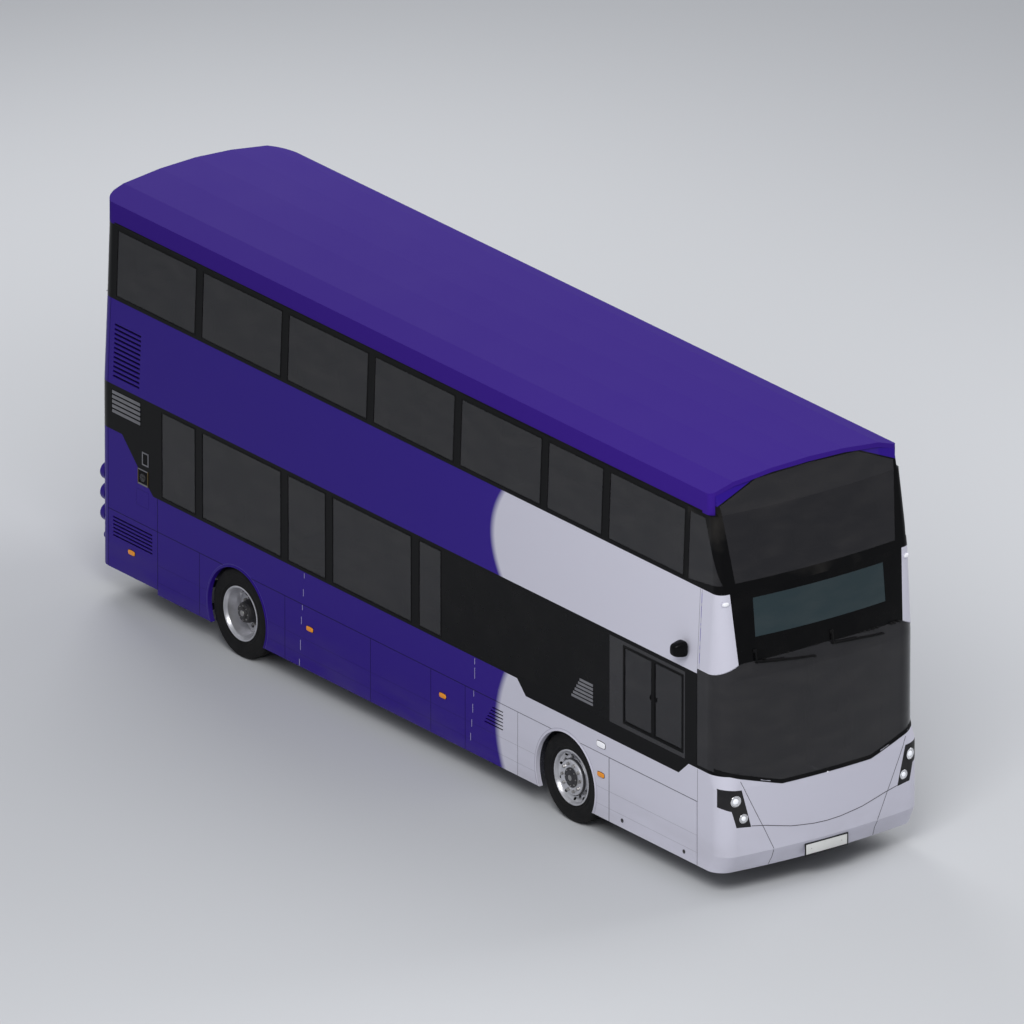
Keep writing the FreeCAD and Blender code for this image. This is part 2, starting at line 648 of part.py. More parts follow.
node(common("stair_panel_slab", shell, stair_body), "staircase_outer_panel")
node(common("lower_glass", glass_shell, group("lower_pane_boxes", lower_panes + driver_panes)),
     "lower_windows")
node(group("upper_glass", upper_panes), "upper_windows")

# Floors, bulkhead, wheel boxes and underframe.
floor_top = d.floor_z + d.floor_thick
raised_top = d.raised_floor_z + d.floor_thick
upper_floor_top = upper_floor_z + d.upper_floor_thick
cabin_front = -front_joint - 60
step_x = (half - 770, inside - d.seal)
step_y = (-door_front - 90, -door_rear + 90)
WHEEL_BOXES = [("front", -d.front_axle, front_box_inner, d.floor_z),
               ("rear", d.rear_axle, rear_box_inner, d.raised_floor_z)]


wells = []
covers = []
for end, y, inner, base in WHEEL_BOXES:
    for sign in (-1, 1):
        name = f"{end}_wheel_box_{sign}"
        wells.append(box(f"{name}_well", both_sides(sign, inner, half),
                         (y - d.box_half_length, y + d.box_half_length), (0, d.box_top_z)))
        covers.append(box(name, both_sides(sign, inner - d.box_sheet, inside - d.seal),
                          (y - d.box_half_length - d.box_sheet, y + d.box_half_length + d.box_sheet),
                          (base, d.box_top_z + d.box_sheet)))
cabin_x = (-inside + d.seal, inside - d.seal)
floor_parts = [
    box("low_floor", cabin_x, (cabin_front, floor_step), (d.floor_z, floor_top)),
    box("floor_riser", cabin_x, (floor_step - d.bulkhead, floor_step), (d.floor_z, raised_top)),
    box("raised_floor", cabin_x, (floor_step - d.bulkhead, saloon_rear),
        (d.raised_floor_z, raised_top)),
    box("rear_bulkhead", cabin_x, (saloon_rear - d.bulkhead, saloon_rear),
        (d.raised_floor_z, upper_floor_z)),
    *covers,
]
door_step = box("door_step", (step_x[0] - d.step_lap, step_x[1]),
                (step_y[0] - d.step_lap, step_y[1] + d.step_lap), (d.skirt_z, d.floor_z))
step_hole = box("door_step_hole", step_x, step_y, (d.floor_z, floor_top))
node(fuse("lower_floor_joined", [cut("lower_floor_cut", fuse("lower_floor_parts", floor_parts),
                                     step_hole, fuse("wheel_wells", wells)), door_step]),
     "lower_floor")

stair_x = (-inside + d.seal, -inside + d.seal + d.stair_width)
stair_hole = box("stair_well", (stair_x[0], stair_x[1] + 30), (-stair_top - 30, -stair_well_rear),
                 (upper_floor_z - 10, upper_floor_top + 10))
upper_floor_plate = common("upper_floor_plate", room_form,
                           box("upper_floor_box", ALL_X, (-front_joint + 5, rear_reach),
                               (upper_floor_z, upper_floor_top)))
header_z = door_top_z - 20
door_header = box("door_header", (inside - 90, inside - d.seal), step_y, (header_z, upper_floor_z))
node(cut("upper_floor_cut", fuse("upper_floor_joined", [upper_floor_plate, door_header]), stair_hole),
     "upper_floor")

rail_top = d.rail_z + d.rail_height
rails = [box(f"rail_{sign}", both_sides(sign, (d.rail_spread - d.rail_width) / 2,
                                        (d.rail_spread + d.rail_width) / 2),
             (270 - front_joint, saloon_rear - 80), (d.rail_z, rail_top)) for sign in (-1, 1)]
CROSS_MEMBERS = [-d.front_axle - 646, -d.front_axle + 764, -900, 100, 1100, d.rear_axle - 955,
                 d.rear_axle + 745, saloon_rear - 180]
members = [box(f"cross_member_{index}", (-inside + d.seal, inside - d.seal), (y - 25, y + 25),
               (rail_top - 50, rail_top)) for index, y in enumerate(CROSS_MEMBERS)]
rear_rails = [box(f"rear_rail_{sign}", both_sides(sign, 500, 560), (saloon_rear - 180, rear_reach - d.wall - d.seal),
                  (rail_top, d.hatch_bottom_z)) for sign in (-1, 1)]
rear_cross = box("engine_cross_member", (-560, 560), (saloon_rear + 80, saloon_rear + 160),
                 (rail_top + 30, d.hatch_bottom_z))
axle_gap = box("front_axle_gap", (-600, 600), (-d.front_axle - 80, -d.front_axle + 80),
               (d.rail_z - 10, rail_top))
node(cut("underframe_cut", fuse("underframe_joined", rails + members + rear_rails + [rear_cross]),
         axle_gap), "underframe")
node(box("power_unit_block", (-560, 560), (saloon_rear + 60, saloon_rear + 60 + d.engine_length),
         (d.hatch_bottom_z, d.hatch_bottom_z + d.engine_height)), "power_unit")

# Staircase, rising towards the front over the wheel box.
rise = (upper_floor_top - floor_top) / d.stair_steps
going = (stair_top - stair_foot) / d.stair_steps
steps = []
for index in range(DIMENSIONS["stair_steps"]):
    steps.append((-stair_foot - going * index, floor_top + rise * index))
    steps.append((-stair_foot - going * index, floor_top + rise * (index + 1)))
stair_end = (-stair_top, upper_floor_top)
under = [(-stair_top, upper_floor_z - d.stair_thick * 2),
         (-stair_foot - going * 1.6, floor_top), ]
node(common("stair_trimmed", room_form,
            prism("stair_body", "x", steps + [stair_end] + under, *stair_x)), "staircase")


# Wheels and axles.

def revolved(name, profile, y, z=d.tyre_radius):
    """A closed outline of (x, radius) turned round a level axis along x."""
    sketch = add("Sketcher::SketchObject", f"{name}_outline")
    points = [(as_length(a), as_length(b)) for a, b in profile]
    count = len(points)
    for index, (a, b) in enumerate(points):
        after = points[(index + 1) % count]
        sketch.addGeometry(Part.LineSegment(Vector(a.value, b.value, 0),
                                            Vector(after[0].value, after[1].value, 0)), False)
    for index in range(count):
        sketch.addConstraint(Sketcher.Constraint("Coincident", index, 2, (index + 1) % count, 1))
    for index, pair in enumerate(points):
        for kind, length in zip(("DistanceX", "DistanceY"), pair):
            spot = sketch.addConstraint(Sketcher.Constraint(kind, -1, 1, index, 1, length.value))
            sketch.setExpression(f"Constraints[{spot}]", length.text)
    sketch.Placement = FreeCAD.Placement(Vector(0, 0, 0), FreeCAD.Rotation(Vector(1, 0, 0), 90))
    place(sketch, 0, y, z)
    item = add("Part::Revolution", name)
    item.Source = sketch
    item.Axis = Vector(1, 0, 0)
    item.Angle = 360
    item.Solid = True
    return bind(item, Base__y=y, Base__z=z)


def flip(sign, centre, profile):
    """Put an outline given outward from a wheel's middle plane on one side of the bus."""
    return [(centre * sign + as_length(a) * sign, b) for a, b in profile]


bead = d.rim_radius
tread = d.tyre_radius
wide = d.tyre_width / 2
TYRE = [(wide * -0.78, bead), (wide * 0.78, bead), (wide * 0.95, bead + 34), (wide, bead + 92),
        (wide * 0.96, tread - 38), (wide * 0.84, tread - 9), (wide * 0.6, tread),
        (wide * -0.6, tread), (wide * -0.84, tread - 9), (wide * -0.96, tread - 38),
        (-wide, bead + 92), (wide * -0.95, bead + 34)]
edge = wide * 0.9
bore = d.spindle_radius + d.seal
FRONT_RIM = [(-edge, bead), (edge, bead), (edge, bead - 12), (96, 260), (66, 225), (60, 188),
             (106, 166), (112, 158), (112, 74), (128, 66), (128, 0), (40, 0), (40, bore),
             (-42, bore), (-42, 110), (30, 112), (40, 165), (38, 215), (38, 262), (-edge, 268)]
TWIN_RIM = [(-edge - d.twin_pitch, bead), (edge - d.twin_pitch, bead), (edge - d.twin_pitch, 266),
            (-edge, 266), (-edge, bead), (edge, bead), (edge, bead - 12), (96, 262), (-70, 254),
            (-80, 170), (-32, 118), (70, 108), (84, 92), (84, 0), (-130, 0), (-130, 150),
            (-124, 250), (-edge - d.twin_pitch, 262)]
front_plane = front_track / 2
rear_plane = rear_track_outer / 2


def drilled(name, disc, plane, sign, y, start, end):
    """A wheel disc with its ring of hand holes."""
    holes = []
    for index in range(DIMENSIONS["hand_holes"]):
        turn = 2 * math.pi * (index + 0.5) / DIMENSIONS["hand_holes"]
        centre = (y + d.hole_circle * math.sin(turn), d.tyre_radius + d.hole_circle * math.cos(turn))
        low, high = both_sides(sign, plane + start, plane + end)
        holes.append(cylinder(f"{name}_hole_{index}", d.hole_radius, "x", low, high, centre))
    return cut(f"{name}_drilled", disc, *holes)


for side, sign in (("offside", -1), ("nearside", 1)):
    name = f"front_{side}"
    node(revolved(f"{name}_tyre_body", flip(sign, front_plane, TYRE), -d.front_axle), f"{name}_tyre")
    disc = revolved(f"{name}_rim_body", flip(sign, front_plane, FRONT_RIM), -d.front_axle)
    node(drilled(f"{name}_rim", disc, front_plane, sign, -d.front_axle, 20, 110), f"{name}_rim")
    name = f"rear_{side}"
    tyres = [revolved(f"{name}_tyre_{index}", flip(sign, rear_plane - d.twin_pitch * index, TYRE),
                      d.rear_axle) for index in range(2)]
    node(group(f"{name}_tyre_pair", tyres), f"{name}_tyres")
    disc = revolved(f"{name}_rim_body", flip(sign, rear_plane, TWIN_RIM), d.rear_axle)
    node(drilled(f"{name}_rim", disc, rear_plane, sign, d.rear_axle, -135, -60), f"{name}_rim")

axle_z = d.tyre_radius
king = kingpin_spread / 2
eye = (axle_z - d.eye_half, axle_z + d.eye_half)
beam = [box("front_beam", (-king + 54, king - 54), (-d.front_axle - 45, -d.front_axle + 45), (190, 285))]
pads = [box(f"front_pad_{sign}", both_sides(sign, 380, 460), (-d.front_axle - 45, -d.front_axle + 45),
            (285, d.floor_z)) for sign in (-1, 1)]
for sign in (-1, 1):
    beam.append(box(f"beam_riser_{sign}", both_sides(sign, king - 92, king - 54),
                    (-d.front_axle - 40, -d.front_axle + 40), (190, eye[1])))
    beam.append(box(f"beam_web_{sign}", both_sides(sign, king - 70, king),
                    (-d.front_axle - 28, -d.front_axle + 28), eye))
    beam.append(cylinder(f"king_eye_{sign}", d.eye_radius, "z", *eye, (king * sign, -d.front_axle)))
eye_bores = [cylinder(f"king_bore_{sign}", d.kingpin_radius + d.seal, "z", eye[0] - 10, eye[1] + 10,
                      (king * sign, -d.front_axle)) for sign in (-1, 1)]
node(cut("front_axle_cut", fuse("front_axle_joined", beam + pads), *eye_bores), "front_axle")

for side, sign in (("offside", -1), ("nearside", 1)):
    centre = (king * sign, -d.front_axle)
    lug = d.eye_half + d.lug_gap
    carrier_x = (king + d.eye_radius + 10, king + d.eye_radius + 32)
    parts = [cylinder(f"{side}_kingpin", d.kingpin_radius, "z", axle_z - lug - 24, axle_z + lug + 24,
                      centre),
             box(f"{side}_carrier", both_sides(sign, *carrier_x),
                 (-d.front_axle - 55, -d.front_axle + 55), (axle_z - lug - 22, axle_z + lug + 22)),
             cylinder(f"{side}_spindle", d.spindle_radius, "x",
                      *both_sides(sign, carrier_x[0], front_plane + 39), (-d.front_axle, axle_z))]
    for end, z in (("lower", (axle_z - lug - 22, axle_z - lug)), ("upper", (axle_z + lug, axle_z + lug + 22))):
        parts.append(cylinder(f"{side}_{end}_lug", 46, "z", *z, centre))
        parts.append(box(f"{side}_{end}_web", both_sides(sign, king, carrier_x[1]),
                         (-d.front_axle - 40, -d.front_axle + 40), z))
    node(fuse(f"{side}_knuckle_joined", parts), f"{side}_knuckle")

tube_end = rear_plane - 130 - d.seal
node(fuse("rear_axle_joined", [
    cylinder("axle_tube", 78, "x", -tube_end, tube_end, (d.rear_axle, axle_z)),
    cylinder("final_drive", 168, "x", -120, 120, (d.rear_axle, axle_z)),
    box("axle_seat_offside", both_sides(-1, 370, 430), (d.rear_axle - 60, d.rear_axle + 60), (rail_top, axle_z)),
    box("axle_seat_nearside", both_sides(1, 370, 430), (d.rear_axle - 60, d.rear_axle + 60), (rail_top, axle_z)),
]), "rear_axle")

# Entrance door: two leaves, each on a turning post with an arm half a leaf long.
leaf_mid_x = half - d.wall / 2 - 1
hinge_x = leaf_mid_x - d.post_offset
leaf_span = (door_front - door_rear) / 2
arm_z = (d.floor_z + 6, d.floor_z + 6 + d.arm_thick)
top_arm_z = (door_top_z - 44, door_top_z - 44 + d.arm_thick)
leaf_z = (arm_z[1] + 2, top_arm_z[0] - 2)
for end, sign, hinge_y in (("front", 1, -door_front), ("rear", -1, -door_rear)):
    def along(start, stop):
        """A pair of lengths measured from the post towards the middle of the doorway."""
        low, high = hinge_y + as_length(start) * sign, hinge_y + as_length(stop) * sign
        return (low, high) if sign > 0 else (high, low)

    middle_y = hinge_y + leaf_span * (sign / 2)
    leaf_y = along(d.leaf_end, leaf_span - d.leaf_gap)
    leaf_x = (leaf_mid_x - d.leaf_thick / 2, leaf_mid_x + d.leaf_thick / 2)
    pane_y = along(d.leaf_end + 70, leaf_span - d.leaf_gap - 60)
    pane_z = (leaf_z[0] + 110, leaf_z[1] - 90)
    pane_hole = box(f"{end}_pane_hole", (leaf_x[0] - 10, leaf_x[1] + 10), pane_y, pane_z)
    brackets = []
    for index, z in enumerate(((leaf_z[0], leaf_z[0] + 8), (leaf_z[1] - 8, leaf_z[1]))):
        brackets.append(box(f"{end}_bracket_{index}", (hinge_x - 14, leaf_mid_x),
                            (middle_y - 16, middle_y + 16), z))
    pins = [cylinder(f"{end}_pin_low", 8, "z", arm_z[0], leaf_z[0] + 4, (hinge_x, middle_y)),
            cylinder(f"{end}_pin_top", 8, "z", leaf_z[1] - 4, top_arm_z[1], (hinge_x, middle_y))]
    leaf = box(f"{end}_leaf_body", leaf_x, leaf_y, leaf_z)
    node(fuse(f"{end}_leaf_joined", [cut(f"{end}_leaf_cut", leaf, pane_hole)] + brackets + pins),
         f"{end}_door_leaf")
    node(box(f"{end}_leaf_pane", (leaf_mid_x + 4, leaf_mid_x + 4 + d.glass),
             (pane_y[0] + d.seal, pane_y[1] - d.seal), (pane_z[0] + d.seal, pane_z[1] - d.seal)),
         f"{end}_door_glass")
    post = [cylinder(f"{end}_post", d.post_radius, "z", d.floor_z + d.seal, header_z - d.seal,
                     (hinge_x, hinge_y))]
    for index, z in enumerate((arm_z, top_arm_z)):
        post.append(box(f"{end}_arm_{index}", (hinge_x - 14, hinge_x + 14), along(0, leaf_span / 2), z))
        post.append(cylinder(f"{end}_arm_eye_{index}", 20, "z", *z, (hinge_x, middle_y)))
    arm_bores = [cylinder(f"{end}_arm_bore_{index}", 8 + d.seal, "z", z[0] - 5, z[1] + 5,
                          (hinge_x, middle_y)) for index, z in enumerate((arm_z, top_arm_z))]
    node(cut(f"{end}_post_cut", fuse(f"{end}_post_joined", post), *arm_bores), f"{end}_door_post")

# Seats: a rigid frame with a soft cushion and backrest on it, for two people.

def seat_rows(first, last):
    """Places of the seat rows along a saloon, one pitch apart."""
    count = int(number(last - first) / DIMENSIONS["seat_pitch"]) + 1
    return [(index, first + d.seat_pitch * index) for index in range(count)]


def seat(name, sign, y, base, pan):
    """One double seat facing forwards. Gives its frame and its two soft parts."""
    wall_face = inside - d.seat_wall_gap - (d.side_lean_mid if name.startswith("upper") else 0)
    x = both_sides(sign, wall_face - d.seat_width, wall_face)
    y = as_length(y)
    frame = prism(f"{name}_frame", "x", [
        (y + 110, base), (y + 290, base), (y + 290, pan - 30), (d.seat_depth + y, pan - 30),
        (d.seat_depth + y + 90, pan + d.seat_back), (d.seat_depth + y + 65, pan + d.seat_back),
        (d.seat_depth + y - 20, pan), (y, pan), (y, pan - 30), (y + 110, pan - 30)], *x)
    soft_x = (x[0] + 12, x[1] - 12)
    cushion = box(f"{name}_cushion", soft_x, (y - 10, y + d.seat_depth - 60),
                  (pan + d.seal, pan + d.cushion))
    back = prism(f"{name}_back", "x", [
        (d.seat_depth + y - 20 - d.seal, pan + 8), (d.seat_depth + y + 65 - d.seal, pan + d.seat_back),
        (d.seat_depth + y + 15, pan + d.seat_back + 20), (d.seat_depth + y - 58, pan + 70),
        (d.seat_depth + y - 52, pan + 8)], *soft_x)
    return frame, cushion, back


seat_places = []
for index, y in seat_rows(1514 - d.front_axle, floor_step - 1200):
    seat_places.append((f"low_near_{index}", 1, y - 450, floor_top, floor_top + d.seat_height))
for index, y in seat_rows(320 - stair_foot, floor_step - 700):
    seat_places.append((f"low_off_{index}", -1, y, floor_top, floor_top + d.seat_height))
box_top = d.box_top_z + d.box_sheet
for index, y in seat_rows(d.rear_axle - 535, d.rear_axle - 55):
    for sign in (-1, 1):
        seat_places.append((f"over_wheel_{sign}_{index}", sign, y, box_top, raised_top + d.seat_height))
for sign in (-1, 1):
    seat_places.append((f"back_low_{sign}", sign, saloon_rear - 740, raised_top,
                        raised_top + d.seat_height))
for index, y in seat_rows(620 - front_joint, rear_joint - 640):
    seat_places.append((f"upper_near_{index}", 1, y, upper_floor_top, upper_floor_top + d.seat_height))
    clear_of_stairs = number(y) < -number(stair_top) - 600 or number(y) > -number(stair_well_rear) + 50
    if clear_of_stairs:
        seat_places.append((f"upper_off_{index}", -1, y, upper_floor_top,
                            upper_floor_top + d.seat_height))
seats = [seat(*place_of_seat) for place_of_seat in seat_places]
node(group("seat_frame_set", [frame for frame, cushion, back in seats]), "seat_frames")
node(group("seat_pad_set", [pad for frame, *pads in seats for pad in pads]), "seat_pads")

# Grab poles on the lower deck and the rail round the stair well on the upper deck.
pole_x = inside - d.seat_wall_gap - d.seat_width - d.pole_radius - d.cover_gap
POLES = [(-pole_x, -900), (-pole_x, 520), (pole_x, -900), (pole_x, 1250), (pole_x, -d.front_axle - 516)]
poles = [cylinder(f"grab_pole_{index}", d.pole_radius, "z", floor_top, upper_floor_z, spot)
         for index, spot in enumerate(POLES)]
well_x = stair_x[1] + 60
rail_ends = (-stair_top - 20, -stair_well_rear + 20)
guard = [cylinder(f"guard_post_{index}", d.pole_radius, "z", upper_floor_top, upper_floor_top + 900, (well_x, y))
         for index, y in enumerate((rail_ends[0], (rail_ends[0] + rail_ends[1]) / 2, rail_ends[1]))]
guard += [cylinder(f"guard_rail_{index}", 15, "y", *rail_ends, (well_x, upper_floor_top + z))
          for index, z in enumerate((420, 880))]
node(group("grab_pole_set", poles + [fuse("guard_joined", guard)]), "handrails")

# Driver's place, on the right-hand side.
cab_x = (-inside + d.seal, -inside + d.cab_width)
cab_rear = -d.front_axle - 786
platform_top = floor_top + d.cab_step
platform = box("cab_platform", cab_x, (cabin_front, cab_rear), (floor_top, platform_top))
desk = prism("cab_desk", "x", [(cabin_front + 20, platform_top), (cabin_front + 20, 1180),
                               (cabin_front + 230, 1130), (cabin_front + 290, 1010),
                               (cabin_front + 170, 930), (cabin_front + 170, platform_top)], *cab_x)
screen = box("cab_screen", cab_x, (cab_rear, cab_rear + d.bulkhead), (floor_top, 1900))
node(fuse("cab_joined", [platform, desk, screen]), "driver_cab")
driver_x = 570 - half
wheel_centre = (driver_x, cabin_front + 500, as_length(1190))
rim = bind(add("Part::Torus", "steering_rim"), Radius1=d.steering_radius, Radius2=16)
spoke = box("steering_spoke", (-d.steering_radius, d.steering_radius), (-16, 16), (-9, 9))
low_spoke = box("steering_low_spoke", (-16, 16), (-d.steering_radius, 16), (-9, 9))
boss = cylinder("steering_boss", 60, "z", -20, 20, (0, 0))
column = cylinder("steering_column", 28, "z", -820, 0, (0, 0))
steering = fuse("steering_joined", [rim, spoke, low_spoke, boss, column])
place(steering, *wheel_centre, axis=(1, 0, 0), angle=-28)
node(cut("steering_cut", steering, platform, desk), "steering_wheel")

seat_y = cabin_front + 780
driver_pan = platform_top + 380
node(fuse("driver_seat_joined", [
    box("driver_pedestal", (driver_x - 150, driver_x + 150), (seat_y + 80, seat_y + 400),
        (platform_top, driver_pan)),
    box("driver_cushion", (driver_x - 240, driver_x + 240), (seat_y, seat_y + 480),
        (driver_pan, driver_pan + 110)),
    prism("driver_back", "x", [(seat_y + 400, driver_pan + 110), (seat_y + 480, driver_pan + 60),
                               (seat_y + 590, driver_pan + 760), (seat_y + 500, driver_pan + 760)],
          driver_x - 230, driver_x + 230)]), "driver_seat")

# Small pieces on the outside. Each is trimmed to the body, so that it sits on its surface.

def seated(name, piece):
    """The part of a piece that stands proud of the body."""
    return cut(name, piece, outer_form)


side_lamp_y = -d.front_axle - 597
MARKERS = [(rear_joint - 357, 578), (d.rear_axle - 1254, 718), (d.rear_axle - 3531, 718), (side_lamp_y, 718)]
markers = []
for sign in (-1, 1):
    for index, (y, z) in enumerate(MARKERS):
        markers.append(seated(f"marker_{sign}_{index}", box(
            f"marker_body_{sign}_{index}", both_sides(sign, half - 5, half + d.lamp_proud),
            (y - 58, y + 58), (z - 25, z + 25))))
    markers.append(seated(f"side_lamp_{sign}", box(
        f"side_lamp_body_{sign}", both_sides(sign, half - 5, half + d.lamp_proud),
        (side_lamp_y - 75, side_lamp_y + 75), (1010, 1078))))
    markers.append(seated(f"top_marker_{sign}", cylinder(
        f"top_marker_body_{sign}", 34, "y", 192 - front_reach, 300 - front_reach,
        ((half - 122) * sign, upper_panel_z - 94))))
node(group("marker_set", markers), "marker_lamps")

LAMPS = [(1277, 90), (1051, 90), (824, 90), (570, 42)]
bosses = []
lenses = []
for sign in (-1, 1):
    for index, (z, radius) in enumerate(LAMPS):
        centre = ((half - 130) * sign, as_length(z))
        collar = cylinder(f"rear_lamp_body_{sign}_{index}", as_length(radius) + 8, "y", rear_reach - 120,
                          lamp_reach - 12, centre)
        bosses.append(seated(f"rear_lamp_{sign}_{index}", collar))
        lenses.append(cylinder(f"rear_lens_{sign}_{index}", radius, "y",
                               lamp_reach - 12 + d.seal, lamp_reach,
                               centre))
node(group("rear_lamp_set", bosses + lenses), "rear_lamps")

HEAD_LENSES = [(half - 152, 1053, 56, 108), (half - 242, 851, 47, 95)]
housings = []
for sign, hole in zip((-1, 1), lamp_holes):
    body = common(f"headlamp_body_{sign}", shell, hole)
    recesses = [cylinder(f"headlamp_recess_{sign}_{index}", radius, "y", FRONT, back - front_reach,
                         (x * sign, as_length(z)))
                for index, (x, z, radius, back) in enumerate(HEAD_LENSES)]
    housings.append(cut(f"headlamp_housing_{sign}", body, fuse(f"headlamp_recesses_{sign}", recesses)))
head_glass = [common(f"headlamp_lens_{sign}_{index}",
                     cylinder(f"headlamp_lens_body_{sign}_{index}", radius - d.seal, "y", FRONT,
                              back - front_reach, (x * sign, as_length(z))), outer_form)
              for sign in (-1, 1) for index, (x, z, radius, back) in enumerate(HEAD_LENSES)]
node(group("headlamp_set", housings + head_glass), "headlamps")

plate_x = (-d.plate_half, d.plate_half)
plates = [seated("front_plate", box("front_plate_body", plate_x, (16 - front_reach, 150 - front_reach),
                                    (d.skirt_z + 37, d.skirt_z + 37 + d.plate_height))),
          seated("rear_plate", box("rear_plate_body", plate_x, (rear_reach - 70, rear_reach + 8),
                                   (d.rear_skirt_z + 12, d.rear_skirt_z + 12 + d.plate_height * 0.8)))]
node(group("plate_set", plates), "number_plates")

pod_y = 180 - front_joint
pod_z = d.mid_panel_z + 135
POD = [(12, 0), (12, 80), (80, 95), (170, 70), (170, 0), (130, -85), (50, -85)]
pods = []
for sign in (-1, 1):
    pods.append(prism(f"mirror_pod_{sign}", "z", [((half + out) * sign, pod_y + back) for out, back in POD],
                      pod_z, pod_z + 180))
    pods.append(seated(f"mirror_arm_{sign}", box(f"mirror_arm_body_{sign}",
                                                 both_sides(sign, half - 60, half + 12),
                                                 (pod_y + 10, pod_y + 60), (pod_z + 60, pod_z + 110))))
node(group("mirror_set", [fuse("mirror_offside", pods[0:2]), fuse("mirror_nearside", pods[2:4])]),
     "mirror_pods")


def rod(name, start, end, radius):
    """A round bar between two points."""
    start, end = (Vector(*[number(length) for length in point]) for point in (start, end))
    item = bind(add("Part::Cylinder", name), Radius=radius, Height=(end - start).Length)
    item.Placement = FreeCAD.Placement(start, FreeCAD.Rotation(Vector(0, 0, 1), end - start))
    return item


WIPERS = [((-840, 74 - front_reach, d.mid_panel_z + 173), (-130, 26 - front_reach, d.mid_panel_z + 98)),
          ((90, 34 - front_reach, d.mid_panel_z + 177), (765, 62 - front_reach, d.mid_panel_z + 117))]
wipers = []
for index, (pivot, tip) in enumerate(WIPERS):
    arm = rod(f"wiper_arm_{index}", pivot, tip, 9)
    hub = rod(f"wiper_hub_{index}", pivot, (pivot[0], pivot[1] + 60, pivot[2] + 110), 16)
    wipers.append(seated(f"wiper_{index}", fuse(f"wiper_joined_{index}", [arm, hub])))
node(group("wiper_set", wipers), "wipers")


# Build everything, test it and write one file for each sub-part.

doc.recompute()
for item in doc.Objects:
    if "Invalid" in item.State or "Error" in item.State:
        raise RuntimeError(f"{item.Name} failed: {item.State}")
for name, item in nodes.items():
    if item.Shape.isNull() or not item.Shape.isValid() or not item.Shape.Solids:
        raise RuntimeError(f"{name} has no valid solid")
for name, item in nodes.items():
    item.Shape.exportStep(f"parts/{name}.step")
    print(f"{name}: {len(item.Shape.Solids)} solids, {item.Shape.Volume / 1e9:.4f} m3")
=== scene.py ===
"""Dresses a double-deck city bus: paint, glass, wheels, lamps, trim, doors and seats.

Lengths are metres in the row frame: X to the kerb side, Y to the rear, Z up.
"""
import sys
import logging
import math
from contextlib import contextmanager
from dataclasses import dataclass, field
from enum import Enum
from typing import Any, Callable, Iterator, Sequence

import bpy
from mathutils import Matrix, Vector


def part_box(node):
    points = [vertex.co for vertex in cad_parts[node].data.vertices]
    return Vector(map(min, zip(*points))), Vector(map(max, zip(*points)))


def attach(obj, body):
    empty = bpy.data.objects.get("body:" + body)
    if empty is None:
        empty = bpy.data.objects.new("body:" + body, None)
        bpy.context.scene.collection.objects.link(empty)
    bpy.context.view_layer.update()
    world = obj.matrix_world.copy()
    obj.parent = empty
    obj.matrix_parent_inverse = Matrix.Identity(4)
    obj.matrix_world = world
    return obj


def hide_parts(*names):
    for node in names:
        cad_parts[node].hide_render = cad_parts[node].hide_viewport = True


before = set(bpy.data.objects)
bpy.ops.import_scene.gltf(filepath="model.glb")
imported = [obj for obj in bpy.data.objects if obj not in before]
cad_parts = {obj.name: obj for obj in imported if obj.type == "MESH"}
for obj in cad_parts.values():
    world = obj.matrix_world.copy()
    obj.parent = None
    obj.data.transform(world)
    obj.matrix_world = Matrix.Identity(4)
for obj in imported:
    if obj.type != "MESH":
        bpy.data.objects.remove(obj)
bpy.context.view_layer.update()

LOG = logging.getLogger("bus")
Piece = bpy.types.Object
Spot = tuple[float, float]
Point = tuple[float, float, float]
Points = Sequence[Sequence[float]]
Row = tuple[float, ...]
Oblong = tuple[float, float, float, float]
Colour = tuple[float, float, float, float]


def maths(operation: str, swapped: bool = False, clamp: bool = False) -> Callable[..., "Wire"]:
    """A method that joins a wire and another value with one Math node.

    Args:
        operation: the node's operation.
        swapped: put the other value first.
        clamp: keep the answer between 0 and 1.

    Returns:
        The method.
    """
    def method(wire: "Wire", other: Any = 0.0) -> "Wire":
        """Add the node and return its answer."""
        values = (other, wire) if swapped else (wire, other)
        settings = {"operation": operation, "use_clamp": clamp}
        return wire.graph.out(wire.graph.node("ShaderNodeMath", settings, dict(enumerate(values))))
    return method


class Wire:
    """A shader socket that can be used in sums, products and comparisons."""

    def __init__(self, graph: "Graph", socket: Any) -> None:
        """Keep the socket and the graph that it belongs to."""
        self.graph = graph
        self.socket = socket

    __add__ = __radd__ = maths("ADD")
    __sub__ = maths("SUBTRACT")
    __rsub__ = maths("SUBTRACT", swapped=True)
    __mul__ = __rmul__ = maths("MULTIPLY")
    __truediv__ = maths("DIVIDE")
    __pow__ = maths("POWER")
    __mod__ = maths("FLOORED_MODULO")
    __gt__ = maths("GREATER_THAN")
    __lt__ = maths("LESS_THAN")
    __abs__ = maths("ABSOLUTE")
    clamped = maths("ADD", clamp=True)
    most = maths("MAXIMUM")

    def step(self, start: float, stop: float) -> "Wire":
        """A ramp from 0 at start to 1 at stop.

        Args:
            start: where the ramp leaves 0.
            stop: where the ramp reaches 1.

        Returns:
            The clamped ramp.
        """
        return ((self - start) / (stop - start)).clamped()


